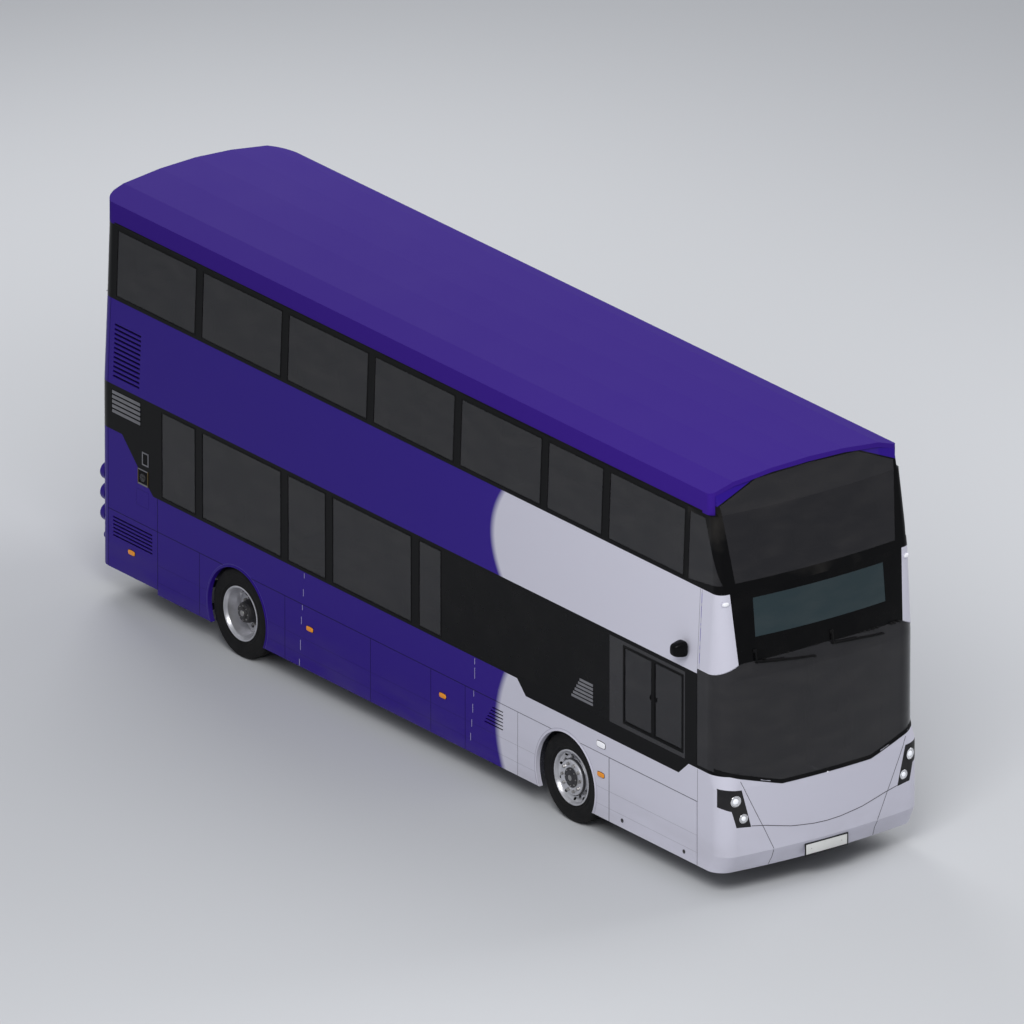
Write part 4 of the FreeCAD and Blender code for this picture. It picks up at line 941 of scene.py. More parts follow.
def turned(centre: Sequence[float], along: Sequence[float], outline: Sequence[Spot], sides: int = 72) -> Piece:
    """A round form: a closed outline spun about a line.

    Args:
        centre: a point on the line.
        along: the line's direction.
        outline: (distance along the line, radius) of each corner, in order.
        sides: steps round it.

    Returns:
        The new object, closed.
    """
    centre, axis = Vector(centre), Vector(along).normalized()
    across = axis.orthogonal().normalized()
    item = polygon([centre + axis * distance + across * radius for distance, radius in outline], "NOTHING")
    with editing(item):
        bpy.ops.mesh.spin(steps=sides, angle=math.tau, center=centre, axis=axis)
        bpy.ops.mesh.select_all(action="SELECT")
        bpy.ops.mesh.remove_doubles(threshold=0.00002)
        bpy.ops.mesh.normals_make_consistent(inside=False)
    return item


def about(centre: Sequence[float], along: Sequence[float], angle: float) -> Matrix:
    """A turn about a line through a point, in radians."""
    shift = Matrix.Translation(Vector(centre))
    return shift @ Matrix.Rotation(angle, 4, Vector(along)) @ shift.inverted()


@dataclass
class WheelSet:
    """One corner's tyre, nuts, valve and hub cover, on the frame's wheel."""

    end: str
    side: int
    radius: float = 0.4785
    half_width: float = 0.1375
    bead: float = 0.286
    groove: float = 0.010
    grooves: Row = (-0.066, -0.022, 0.022, 0.066)
    nut_count: int = 10

    def __post_init__(self) -> None:
        """Read the wheel's place from the frame."""
        self.name = f"{self.end}_{'offside' if self.side < 0 else 'nearside'}"
        self.front = self.end == "front"
        self.tyre_node = f"{self.name}_tyre" + ("" if self.front else "s")
        low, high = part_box(self.tyre_node)
        outer = high[0] if self.side > 0 else low[0]
        self.centre = (outer - self.side * self.half_width, (low[1] + high[1]) / 2, (low[2] + high[2]) / 2)
        self.axis = (self.side, 0, 0)
        self.body = f"{self.name}_wheel" + ("" if self.front else "s")

    def tyre_outline(self) -> list[Spot]:
        """Half outlines of the sidewalls with their rings, and the grooved tread between them.

        Returns:
            The (distance outward, radius) corners.
        """
        wide, top = self.half_width, self.radius
        wall = [(wide * 0.78, self.bead), (wide * 0.86, self.bead - 0.004), (wide * 0.90, self.bead + 0.010),
                (wide * 0.93, 0.318), (wide * 0.985, 0.326), (wide * 0.99, 0.336), (wide * 0.97, 0.342),
                (wide * 0.995, 0.372), (wide * 0.997, 0.392), (wide * 0.975, 0.4205), (wide * 0.985, 0.4235),
                (wide * 0.975, 0.431), (wide * 0.955, 0.446), (wide * 0.915, 0.4625), (wide * 0.84, 0.4725)]
        tread = [(0.105, top)]
        for place in reversed(self.grooves):
            half = self.groove / 2
            tread += [(place + half, top), (place + half * 0.6, top - 0.013),
                      (place - half * 0.6, top - 0.013), (place - half, top)]
        tread.append((-0.105, top))
        return wall + tread + [(-out, high) for out, high in reversed(wall)]

    def tyre(self) -> None:
        """The tyre or twin tyres."""
        item = self.spun(self.tyre_outline(), 96)
        if not self.front:
            pitch = Matrix.Translation((-0.310 * self.side, 0, 0))
            item = copies(item, [Matrix.Identity(4), pitch])
        finish = Finish.FRONT_TYRE if self.front else Finish.REAR_TYRE
        dress(item, f"{self.name}_tyre_dressed", finish, self.body, slot="tyre_rubber", smooth=28,
              stands_for=[self.tyre_node])

    def spot(self, out: float, radius: float) -> Vector:
        """A point above the axle, a distance outward from the wheel's middle."""
        return Vector(self.centre) + Vector((self.side * out, 0, radius))

    def spun(self, outline: Sequence[Spot], sides: int) -> Piece:
        """A form spun about this wheel's axle from its (distance outward, radius) corners."""
        return turned(self.centre, self.axis, outline, sides)

    def ring(self, item: Piece, count: int, start: float = 0.0) -> Piece:
        """Copies of a piece, evenly spaced round the axle and joined."""
        return copies(item, [about(self.centre, self.axis, start + math.tau * index / count)
                             for index in range(count)])

    def fit(self, item: Piece, part: str, finish: Finish, smooth: float = 30.0) -> None:
        """Dress a piece of this wheel, which turns with it."""
        dress(item, f"{self.name}_{part}", finish, self.body, smooth=smooth)

    def nuts(self) -> None:
        """Wheel nuts on their washers, at the rear with the stud ends showing."""
        out, circle = (0.1275, 0.146) if self.front else (-0.030, 0.142)
        centre = self.spot(out, circle)
        pieces = [turned(centre, self.axis, [(-0.004, 0), (-0.004, 0.019), (0.003, 0.0185), (0.004, 0)], 20),
                  turned(centre, self.axis, [
                      (0.002, 0), (0.002, 0.0165), (0.020, 0.0165), (0.0225, 0.0135), (0.0225, 0)], 6),
                  turned(centre, self.axis, [
                      (0.020, 0), (0.020, 0.0085), (0.032, 0.0085), (0.034, 0.0065), (0.034, 0)], 16)]
        if self.front:
            bpy.data.objects.remove(pieces.pop())
        self.fit(self.ring(join(pieces), self.nut_count, math.pi / 10), "nuts", Finish.STUD)

    def hub(self) -> None:
        """The dark hub cover with its bolts, and at the front the bright disc with a dark ring of painted shade in
        its groove.
        """
        if self.front:
            outline = [(0.108, 0.010), (0.108, 0.106), (0.1325, 0.106), (0.1355, 0.102), (0.1365, 0.072),
                       (0.142, 0.064), (0.146, 0.054), (0.148, 0.040), (0.1465, 0.014), (0.1445, 0.010)]
            bolt_out, bolt_circle = 0.135, 0.088
            disc = self.spun([(0.098, 0.100), (0.098, 0.187), (0.122, 0.187), (0.1265, 0.183),
                              (0.1280, 0.176), (0.1285, 0.106), (0.126, 0.100)], 72)
            self.fit(disc, "hub_disc", Finish.WHEEL)
            # The groove round the disc is a near-black ring: painted shade.
            groove = self.spun([(0.090, 0.184), (0.090, 0.197), (0.112, 0.197), (0.114, 0.192), (0.112, 0.184)], 72)
            self.fit(groove, "hub_groove_painted_shade", Finish.WHEEL_DARK)
        else:
            outline = [(-0.028, 0.020), (-0.028, 0.125), (-0.012, 0.125), (-0.006, 0.118), (0.060, 0.112),
                       (0.074, 0.107), (0.076, 0.103), (0.087, 0.1005), (0.0905, 0.095), (0.091, 0.060),
                       (0.104, 0.056), (0.108, 0.048), (0.108, 0.020)]
            bolt_out, bolt_circle = 0.090, 0.079
        self.fit(self.spun(outline, 64), "hub_cover", Finish.WHEEL_DARK)
        face = outline[-1][0]
        plug = self.spun([(face - 0.004, 0), (face - 0.004, 0.034), (face + 0.003, 0.030), (face + 0.004, 0)], 32)
        self.fit(plug, "hub_plug", Finish.STUD)
        bolt = turned(self.spot(bolt_out, bolt_circle), self.axis,
                      [(-0.003, 0), (-0.003, 0.0075), (0.007, 0.0075), (0.0085, 0.006), (0.0085, 0)], 6)
        self.fit(self.ring(bolt, 8), "hub_bolts", Finish.STUD)

    def flange(self) -> None:
        """The rolled rim edge outside the tyre's bead, black discs of painted shade in the front hand holes, and
        the valve.
        """
        ring = self.spun([(0.118, 0.281), (0.118, 0.288), (0.1225, 0.2925), (0.1285, 0.293), (0.1315, 0.289),
                          (0.131, 0.281), (0.1265, 0.277), (0.121, 0.2775)], 96)
        self.fit(ring, "rim_edge", Finish.WHEEL, 40)
        if self.front:
            # Each hand hole is a flat black disc: painted shade where the hole would look dark.
            hole = turned(self.spot(0.0806, 0.242), (self.side * 0.76, 0, -0.65),
                          [(-0.004, 0), (-0.004, 0.018), (0.0008, 0.018), (0.0010, 0.017), (0.0010, 0)], 24)
            self.fit(self.ring(hole, self.nut_count), "hand_holes", Finish.GRILLE_BLACK)
        low = self.spot(0.088 if self.front else 0.020, 0.235 if self.front else 0.246)
        tip = self.spot(0.121, 0.232)
        out = Vector((self.side, 0, 0))
        valve = join([bar(low, tip, 0.0045, 12), bar(tip - out * 0.006, tip + out * 0.009, 0.0065, 12, 0.001)])
        self.fit(valve, "valve", Finish.STUD)

    def build(self) -> None:
        """Make every piece of this wheel."""
        self.tyre()
        self.nuts()
        self.hub()
        self.flange()


def screw_heads(name: str, y: float, z: float, way: int) -> None:
    """The two screw heads of a number plate, at y and z, that face forward (-1) or back (1)."""
    outline = [(-0.001, 0), (-0.001, 0.006), (0.001, 0.005), (0.002, 0)]
    dress([turned((x, y, z), (0, way, 0), outline, 16) for x in (-0.19, 0.19)], name, Finish.STUD)


HALF_WIDTH = 1.25
MID_PANEL_Z = 2.333
UPPER_PANEL_Z = 3.246
GUTTER_Z = 4.05
LEAN_MID = 0.043
LEAN_TOP = 0.074
FRONT_AXLE_Y = -2.664
REAR_AXLE_Y = 2.955
AXLE_Z = 0.4785
ARCH_RADIUS = 0.50
WAIST_Z = 0.949


def lean(z: float) -> float:
    """How far the body side leans in at a height.

    Args:
        z: the height.

    Returns:
        The distance inward.
    """
    mid = min(1.0, max(0.0, (z - MID_PANEL_Z) / (UPPER_PANEL_Z - MID_PANEL_Z)))
    top = min(1.0, max(0.0, (z - UPPER_PANEL_Z) / (GUTTER_Z - UPPER_PANEL_Z)))
    return LEAN_MID * mid + (LEAN_TOP - LEAN_MID) * top


def on_side(item: Piece) -> Piece:
    """Lean a piece that was made on an upright side, so that it follows the body.

    Args:
        item: a piece made at the body's full half width.

    Returns:
        The same piece.
    """
    for level in (MID_PANEL_Z, UPPER_PANEL_Z):
        with editing(item):
            bpy.ops.mesh.bisect(plane_co=(0, 0, level), plane_no=(0, 0, 1))
    for vertex in item.data.vertices:
        vertex.co.x -= math.copysign(lean(vertex.co.z), vertex.co.x)
    return item


def strip(side: int, low: Spot, high: Spot, proud: float = 0.0012) -> Piece:
    """A thin strip on the body side between two (y, z) corners.

    Args:
        side: -1 for the driver's side, 1 for the kerb side.
        low: its smallest y and z.
        high: its greatest y and z.
        proud: how far it stands out.

    Returns:
        The strip, leaning with the side.
    """
    inner, outer = side * (HALF_WIDTH - 0.002), side * (HALF_WIDTH + proud)
    return on_side(block((min(inner, outer), low[0], low[1]), (max(inner, outer), high[0], high[1])))


def rim_frame(side: int, low: Spot, high: Spot, width: float, proud: float = 0.003, bevel: float = 0.0008) -> Piece:
    """A four-sided frame on the body side, drawn inward from its outer corners.

    Args:
        side: -1 for the driver's side, 1 for the kerb side.
        low: smallest y and z.
        high: greatest y and z.
        width: width of each bar.
        proud: how far it stands out.
        bevel: rounding of its edges.

    Returns:
        The frame, leaning with the side.
    """
    x = side * (HALF_WIDTH - 0.002)
    item = open_frame([(x, low[0], low[1]), (x, high[0], low[1]), (x, high[0], high[1]), (x, low[0], high[1])],
                      (side * (proud + 0.002), 0, 0), width, bevel)
    return on_side(item)


def open_frame(outline: Points, push: Sequence[float], width: float, bevel: float = 0.0) -> Piece:
    """A flat outline with its middle taken out, pushed out to a solid frame.

    Args:
        outline: outer corners in order.
        push: the way and distance that it is pushed.
        width: width of the bars.
        bevel: rounding of its edges.

    Returns:
        The new object.
    """
    item = polygon(outline)
    with editing(item, "FACE"):
        bpy.ops.mesh.inset(thickness=width, use_boundary=True)
        bpy.ops.mesh.delete(type="FACE")
        bpy.ops.mesh.select_all(action="SELECT")
        bpy.ops.mesh.extrude_region_move(TRANSFORM_OT_translate={"value": tuple(push)})
        bpy.ops.mesh.select_all(action="SELECT")
        bpy.ops.mesh.normals_make_consistent(inside=False)
    if bevel:
        with editing(item, "EDGE"):
            bpy.ops.mesh.select_all(action="DESELECT")
            bpy.ops.mesh.edges_select_sharp(sharpness=math.radians(40))
            bpy.ops.mesh.bevel(offset=bevel, segments=2, affect="EDGES")
    return item


@dataclass
class SidePanels:
    """Seams, swages, arch lips, beads and covers of the body sides."""

    seam: float = 0.006
    swages: Row = (0.394, 0.580)
    skirt_low: float = 0.257
    rear_skirt_low: float = 0.312
    rear_lift_y: float = 4.333
    front_end: float = -4.885
    rear_end: float = 5.185
    door: Spot = (-4.78, -3.46)
    flap: Spot = (-4.877, -3.393)
    skirt_seams: Row = (3.607, 2.132, 0.661, -0.370, -0.956, -1.850)
    beads: tuple[Point, ...] = (
        (1.795, 1.246, 1.298), (1.812, 1.044, 1.120), (1.829, 0.886, 0.940), (1.847, 0.727, 0.807),
        (1.863, 0.438, 0.548), (1.881, 0.262, 0.335), (-1.120, 1.233, 1.298), (-1.120, 1.077, 1.196),
        (-1.103, 0.876, 0.940), (-1.086, 0.698, 0.792), (-1.069, 0.535, 0.616), (-1.050, 0.383, 0.464))

    def clear_runs(self, side: int, z: float, start: float, stop: float) -> list[Spot]:
        """The lengths of a level line that miss the wheel arches and the doorway.

        Args:
            side: -1 for the driver's side, 1 for the kerb side.
            z: the line's height.
            start: its front end.
            stop: its rear end.

        Returns:
            Pairs of front and rear ends.
        """
        reach = math.sqrt(max(0.0, (ARCH_RADIUS + 0.03) ** 2 - (z - AXLE_Z) ** 2))
        gaps = [(axle - reach, axle + reach) for axle in (FRONT_AXLE_Y, REAR_AXLE_Y)]
        if side > 0:
            gaps.insert(0, self.door)
        runs = []
        for low, high in sorted(gaps) + [(stop, stop)]:
            if low > start:
                runs.append((start, min(low, stop)))
            start = max(start, high)
        return [run for run in runs if run[1] - run[0] > 0.02]

    def level_lines(self) -> None:
        """The waist joint and the two pressed lines along the skirts."""
        strong, faint = [], []
        for side in (-1, 1):
            for start, stop in self.clear_runs(side, WAIST_Z, self.front_end, self.rear_end):
                strong.append(strip(side, (start, WAIST_Z - self.seam / 2), (stop, WAIST_Z + self.seam / 2)))
            for z in self.swages:
                front_end = self.flap[1] if side < 0 else self.front_end
                for start, stop in self.clear_runs(side, z, front_end, self.rear_lift_y):
                    faint.append(strip(side, (start, z - 0.002), (stop, z + 0.002), 0.0008))
        flap = [strip(-1, (self.flap[0], z - 0.002), (self.flap[1] - 0.008, z + 0.002), 0.0008)
                for z in self.swages]
        dress(flap, "flap_swages", Finish.SEAM_FAINT, "service_cover")
        dress(strong, "waist_joint", Finish.SEAM_BOTH)
        dress(faint, "skirt_swages", Finish.SEAM_FAINT)

    def upright_lines(self) -> None:
        """Panel joints from the skirt up, and those of the upper panels."""
        lines = []
        for side in (-1, 1):
            for y in self.skirt_seams:
                lines.append(strip(side, (y - 0.002, self.skirt_low), (y + 0.002, WAIST_Z)))
            lines.append(strip(side, (self.rear_lift_y - 0.003, self.rear_skirt_low),
                               (self.rear_lift_y + 0.003, SILL_Z)))
            for low, high in ((self.rear_skirt_low, 1.829), (MID_PANEL_Z, UPPER_PANEL_Z)):
                lines.append(strip(side, (self.rear_end, low), (self.rear_end + 0.004, high)))
            low = self.skirt_low if side < 0 else 2.26
            lines.append(strip(side, (self.front_end - 0.002, low), (self.front_end + 0.002, 1.30)))
            lines.append(strip(side, (self.front_end + 0.010, 2.35), (self.front_end + 0.013, 3.24)))
            lines.append(strip(side, (self.front_end - 0.020, 2.37), (self.front_end - 0.017, 3.24)))
        lines.append(strip(-1, (-3.399, self.skirt_low), (-3.393, WAIST_Z)))
        dress(lines, "panel_joints", Finish.SEAM_BOTH)

    def sealed_seams(self) -> None:
        """Pale beads of sealant, broken into short lengths."""
        beads = [strip(-1, (y - 0.002, low), (y + 0.002, high), 0.0016) for y, low, high in self.beads]
        dress(beads, "sealant_beads", Finish.SEALANT)

    def arch_lips(self) -> None:
        """A rolled lip round each wheel opening, down to the skirt's edge."""
        lips, beads = [], []
        for side in (-1, 1):
            for y in (FRONT_AXLE_Y, REAR_AXLE_Y):
                centre = (side * HALF_WIDTH, y, AXLE_Z)
                for outline, kept in (([(-0.010, 0.500), (0.005, 0.500), (0.008, 0.503), (0.008, 0.509),
                                        (0.005, 0.513), (-0.002, 0.513)], lips),
                                      ([(-0.002, 0.527), (0.0015, 0.5275), (0.002, 0.529), (0.0015, 0.5315),
                                        (-0.002, 0.532)], beads)):
                    item = turned(centre, (side, 0, 0), outline, 120)
                    with editing(item):
                        bpy.ops.mesh.bisect(plane_co=(0, 0, self.skirt_low), plane_no=(0, 0, 1),
                                            clear_inner=True, use_fill=True)
                    kept.append(item)
        dress(lips, "arch_lips", Finish.LIVERY_TRIM, smooth=40)
        dress(beads, "arch_beads", Finish.BEAD, smooth=40)

    def flap_catches(self) -> None:
        """Two recessed turn catches on the service flap."""
        pieces = []
        for y in (-3.62, -4.66):
            centre = (-HALF_WIDTH, y, 0.335)
            pieces.append(turned(centre, (-1, 0, 0), [
                (-0.002, 0), (-0.002, 0.022), (0.0025, 0.022), (0.003, 0.020), (0.0015, 0.017), (0.0015, 0)], 32))
            pieces.append(block((-HALF_WIDTH - 0.005, y - 0.013, 0.3325), (-HALF_WIDTH - 0.001, y + 0.013, 0.3375),
                                0.001))
        dress(pieces, "flap_catches", Finish.WHEEL_DARK, "service_cover", slot="body_paint")

    def build(self) -> None:
        """Make the side trim."""
        self.level_lines()
        self.upright_lines()
        self.sealed_seams()
        self.arch_lips()
        self.flap_catches()


def tube(points: Points, radius: float, sides: int = 2) -> Piece:
    """A round bead that follows a line of points.

    Args:
        points: the bead's middle line.
        radius: its radius.
        sides: how finely its section is rounded.

    Returns:
        The bead as a closed mesh.
    """
    curve = bpy.data.curves.new("bead", "CURVE")
    curve.dimensions = "3D"
    curve.bevel_depth = radius
    curve.bevel_resolution = sides
    curve.use_fill_caps = True
    spline = curve.splines.new("POLY")
    spline.points.add(len(points) - 1)
    for knot, point in zip(spline.points, points):
        knot.co = (*point, 1.0)
    item = bpy.data.objects.new("bead", curve)
    bpy.context.collection.objects.link(item)
    select_only(item)
    bpy.ops.object.convert(target="MESH")
    item = bpy.context.active_object
    with editing(item):
        bpy.ops.mesh.remove_doubles(threshold=0.00001)
        bpy.ops.mesh.normals_make_consistent(inside=False)
    return item


def fine_line(corners: Sequence[Spot], step: float = 0.03) -> list[Spot]:
    """Points along a line of corners, no further apart than a step.

    Args:
        corners: the line's corners.
        step: the greatest distance.

    Returns:
        The points.
    """
    points = [corners[0]]
    for (x0, z0), (x1, z1) in zip(corners, corners[1:]):
        count = max(1, math.ceil(math.hypot(x1 - x0, z1 - z0) / step))
        points += [(x0 + (x1 - x0) * i / count, z0 + (z1 - z0) * i / count) for i in range(1, count + 1)]
    return points


class Skin:
    """Finds points on the outside of named nodes of the frame."""

    def __init__(self, *names: str) -> None:
        """Keep the nodes to look at."""
        self.items = [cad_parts[name] for name in names]

    def hit(self, start: Sequence[float], way: Sequence[float]) -> Vector | None:
        """The first point met from a start in one direction, or None.

        Args:
            start: where to start.
            way: the direction.

        Returns:
            The point.
        """
        found = []
        for item in self.items:
            met, point, _, _ = item.ray_cast(Vector(start), Vector(way))
            if met:
                found.append(point)
        return min(found, key=lambda point: (point - Vector(start)).length, default=None)

    def front(self, x: float, z: float, proud: float = 0.0) -> Vector:
        """The point on the front at x and z, moved forward a little."""
        return (self.hit((x, -8.0, z), (0, 1, 0)) or Vector((x, -5.35, z))) - Vector((0, proud, 0))

    def rear(self, x: float, z: float, proud: float = 0.0) -> Vector:
        """The point on the rear at x and z, moved back a little."""
        return (self.hit((x, 8.0, z), (0, -1, 0)) or Vector((x, 5.37, z))) + Vector((0, proud, 0))


@dataclass
class Front:
    """The bus's face: seams, headlamps, plate, wipers, markers and wing cameras."""

    crease: tuple[Spot, ...] = ((0.0, 0.615), (0.17, 0.622), (0.38, 0.647), (0.45, 0.657), (0.755, 0.728),
                                (0.915, 0.755))
    joint: tuple[Spot, ...] = ((1.040, 1.255), (0.972, 1.109), (0.876, 0.912), (0.765, 0.690), (0.655, 0.461),
                               (0.645, 0.360), (0.660, 0.262))
    lamps: tuple[Point, ...] = ((1.098, 1.053, 0.056), (1.008, 0.851, 0.047))

    plate_y: float = -5.3855
    plate_box: Point = (0.26, 0.294, 0.404)
    parked: tuple[Row, ...] = ((-0.84, -0.13, 2.506, 2.431, 2.612), (0.09, 0.765, 2.510, 2.450, 2.618))
    marker: Spot = (1.135, 3.152)
    jet_z: float = 1.141
    wing: Point = (0.158, 0.150, 0.190)
    wing_y: float = -4.765
    wing_z: float = 2.463

    def __post_init__(self) -> None:
        """Look up the front's surfaces."""
        self.skin = Skin("front_lower_panel", "front_display_panel", "front_corner_mouldings",
                         "front_upper_frame", "headlamps", "lower_windscreen", "upper_windscreen",
                         "destination_glass")

    def seams(self) -> None:
        """The crease between the headlamps and the joints of the bumper's corners."""
        left = [(-x, z) for x, z in reversed(self.crease[1:])]
        crease = tube([self.skin.front(x, z, -0.001) for x, z in fine_line(left + list(self.crease))], 0.0042)
        joints = [tube([self.skin.front(side * x, z, -0.0012) for x, z in fine_line(self.joint)], 0.0036)
                  for side in (-1, 1)]
        dress([crease] + joints, "front_seams", Finish.SEAM_PALE)

    def headlamps(self) -> None:
        """Bezel rings, reflectors and projector lenses in the dark housings."""
        rings, bowls, glasses = [], [], []
        for side in (-1, 1):
            for x, z, radius in self.lamps:
                face = self.skin.front(side * x, z)
                near = [self.skin.front(side * x + dx, z + dz) for dx, dz in ((0.03, 0), (0, 0.03))]
                normal = (near[0] - face).cross(near[1] - face).normalized()
                normal = -normal if normal.y > 0 else normal
                rings.append(turned(face, normal, [
                    (-0.004, radius - 0.007), (-0.004, radius + 0.004), (0.003, radius + 0.004),
                    (0.0055, radius + 0.001), (0.004, radius - 0.004)], 56))
                bowls.append(turned(face, normal, [
                    (-0.003, 0), (-0.003, radius - 0.006), (0.002, radius - 0.006), (0.0005, radius * 0.62),
                    (-0.0015, radius * 0.58), (-0.002, 0)], 56))
                glasses.append(turned(face, normal, [
                    (-0.001, 0), (-0.001, radius * 0.56), (0.003, radius * 0.55), (0.009, radius * 0.42),
                    (0.013, radius * 0.22), (0.0142, 0)], 40))
        dress(rings, "headlamp_bezels", Finish.CHROME)
        dress(bowls, "headlamp_bowls", Finish.CHROME)
        dress(glasses, "headlamp_projectors", Finish.CLEAR, slot="lamp_plastic", smooth=50)

    def plate(self) -> None:
        """A blank number plate in its frame on the plinth, with two screws."""
        y, (half, low, high) = self.plate_y, self.plate_box
        plinth = block((-half + 0.012, y, low + 0.008), (half - 0.012, y + 0.075, high - 0.008), 0.004)
        dress(plinth, "front_plate_plinth", Finish.FRONT)
        board = block((-half, y - 0.003, low), (half, y + 0.003, high), 0.0015)
        dress(board, "front_plate", Finish.PLATE_WHITE, stands_for=["number_plates"])
        edge = open_frame(upright(y + 0.004, (-half - 0.012, low - 0.012), (half + 0.012, high + 0.012)),
                          (0, -0.009, 0), 0.013, 0.001)
        dress(edge, "front_plate_frame", Finish.PLASTIC)
        screw_heads("front_plate_screws", y - 0.003, (low + high) / 2, -1)

    def wipers(self) -> None:
        """Two wipers parked along the top of the lower windscreen."""
        metal, rubber = [], []
        for pivot_x, tip_x, pivot_z, tip_z, cap_z in self.parked:
            cap = self.skin.front(pivot_x, cap_z)
            low = self.skin.front(pivot_x, pivot_z, 0.028)
            metal.append(turned(cap, (0, -1, 0.12), [
                (-0.004, 0), (-0.004, 0.024), (0.010, 0.024), (0.020, 0.017), (0.024, 0)], 32))
            metal.append(tube([cap + Vector((0, -0.014, 0)), cap + Vector((0, -0.026, -0.03)), low], 0.009))
            holder = self.skin.front((pivot_x + tip_x) / 2, (pivot_z + tip_z) / 2, 0.026)
            metal.append(tube([low, holder], 0.007))
            path = [self.skin.front(pivot_x + (tip_x - pivot_x) * share,
                                    pivot_z + (tip_z - pivot_z) * share - 0.012)
                    for share in (step / 12 for step in range(13))]
            metal.append(tube([point + Vector((0, -0.019, 0.002)) for point in path], 0.006))
            rubber.append(tube([point + Vector((0, -0.0095, -0.004)) for point in path], 0.0092))
        dress(metal, "wiper_arms", Finish.RUBBER_TRIM, stands_for=["wipers"])
        dress(rubber, "wiper_blades", Finish.RUBBER_TRIM)

    def markers(self) -> None:
        """White oval marker lamps in the upper corners, and a washer jet under the screen that glows white as a
        painted glint.
        """
        lenses, rings = [], []
        for side in (-1, 1):
            x, z = self.marker
            spot = self.skin.front(side * x, z)
            across = (spot - self.skin.front(side * (x - 0.03), z)).normalized()
            normal = across.cross(Vector((0, 0, 1)))
            normal = -normal if normal.y > 0 else normal
            lens = turned(spot, normal, [
                (-0.004, 0), (-0.004, 0.030), (0.008, 0.029), (0.014, 0.022), (0.017, 0.010), (0.0175, 0)], 40)
            ring = turned(spot, normal, [
                (-0.004, 0.029), (-0.004, 0.036), (0.006, 0.036), (0.008, 0.032), (0.007, 0.029)], 40)
            for item in (lens, ring):
                item.data.transform(Matrix.Translation(spot) @ Matrix.Diagonal((1.25, 1.25, 0.8, 1.0))
                                    @ Matrix.Translation(-spot))
            lenses.append(lens)
            rings.append(ring)
        dress(lenses, "top_marker_lenses", Finish.LAMP_WHITE, smooth=50)
        dress(rings, "top_marker_rings", Finish.LIVERY_TRIM, slot="pale_paint", smooth=50)
        # The washer jet takes the glowing white lamp finish: a painted glint on a part that is no lamp.
        jet = self.skin.front(0.0, self.jet_z, 0.0025)
        dress(turned(jet, (0, -1, 0), [
            (-0.002, 0), (-0.002, 0.009), (0.004, 0.008), (0.007, 0.004), (0.007, 0)], 20),
              "washer_jet_painted_glint", Finish.LAMP_WHITE, slot="black_trim")

    def wing_cameras(self) -> None:
        """Rounded camera wings on short arms, in place of mirrors."""
        reach, length, height = self.wing
        x0, y0, z0 = HALF_WIDTH + 0.010, self.wing_y, self.wing_z
        wing = block((x0, y0, z0), (x0 + reach, y0 + length, z0 + height))
        with editing(wing, "FACE"):
            bpy.ops.mesh.subdivide(number_cuts=1)
        for vertex in wing.data.vertices:
            out = (vertex.co.x - x0) / reach
            up = (vertex.co.z - z0) / height
            vertex.co.y = y0 + length / 2 + (vertex.co.y - y0 - length / 2) * (1.0 - 0.30 * out) + 0.02 * out
            vertex.co.z = (z0 + height / 2 + (vertex.co.z - z0 - height / 2) * (1.0 - 0.28 * out)
                           - 0.015 * up * out)
        modified(wing, "SUBSURF", levels=3)
        arm = tube([(HALF_WIDTH - 0.02, y0 + 0.115, z0 + 0.080), (HALF_WIDTH + 0.03, y0 + 0.105, z0 + 0.085),
                    (HALF_WIDTH + 0.07, y0 + 0.080, z0 + 0.090)], 0.024, 5)
        foot = block((HALF_WIDTH - 0.014, y0 + 0.065, z0 + 0.035), (HALF_WIDTH + 0.006, y0 + 0.155, z0 + 0.130),
                     0.005)
        dress(mirrored(join([wing, arm, foot])), "wing_cameras", Finish.BLACK_GLOSS, smooth=60,
              stands_for=["mirror_pods"])
        # The camera eyes take the glowing clear lamp finish: a painted glint on parts that are no lamp.
        eye = turned((x0 + 0.085, y0 + 0.137, z0 + 0.095), (0, 1, -0.25),
                     [(-0.012, 0), (-0.012, 0.026), (0.003, 0.026), (0.005, 0.022), (0.001, 0.019),
                      (0.004, 0.010), (0.005, 0)], 36)
        dress(mirrored(eye), "camera_eyes_painted_glint", Finish.CLEAR, smooth=40)

    def build(self) -> None:
        """Make the front's pieces."""
        self.seams()
        self.headlamps()
        self.plate()
        self.wipers()
        self.markers()
        self.wing_cameras()


def solids_of(node: str) -> list[tuple[Vector, Vector]]:
    """The lowest and highest corners of each separate solid in a node, front first.

    Args:
        node: the node's name.

    Returns:
        The corners of each.
    """
    with editing(twin_of(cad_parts[node])):
        bpy.ops.mesh.remove_doubles(threshold=0.00002)
        bpy.ops.mesh.separate(type="LOOSE")
    boxes = []
    for part in list(bpy.context.selected_objects):
        spots = [vertex.co for vertex in part.data.vertices]
        boxes.append((Vector([min(spot[axis] for spot in spots) for axis in range(3)]),
                      Vector([max(spot[axis] for spot in spots) for axis in range(3)])))
        bpy.data.objects.remove(part)
    return sorted(boxes, key=lambda box: (round(box[0].x, 1), box[0].y, box[0].z))


def ribbon(skin: Skin, line: Sequence[Spot], low: float, high: float, thickness: float) -> Piece:
    """A thin band laid on the front along a line.

    Args:
        skin: the surface that it lies on.
        line: (x, z) points of the line, from left to right.
        low: how far the band's lower edge is from the line.
        high: how far its upper edge is from the line.
        thickness: how far it stands out.

    Returns:
        The band.
    """
    bpy.ops.object.select_all(action="DESELECT")
    bpy.ops.mesh.primitive_grid_add(x_subdivisions=len(line) - 1, y_subdivisions=2, size=1.0)
    item = bpy.context.active_object
    for vertex in item.data.vertices:
        x, z = line[round((vertex.co.x + 0.5) * (len(line) - 1))]
        vertex.co = skin.front(x, z + low + (high - low) * (vertex.co.y + 0.5), -0.0005)
    modified(item, "SOLIDIFY", thickness=thickness, offset=1.0)
    return item


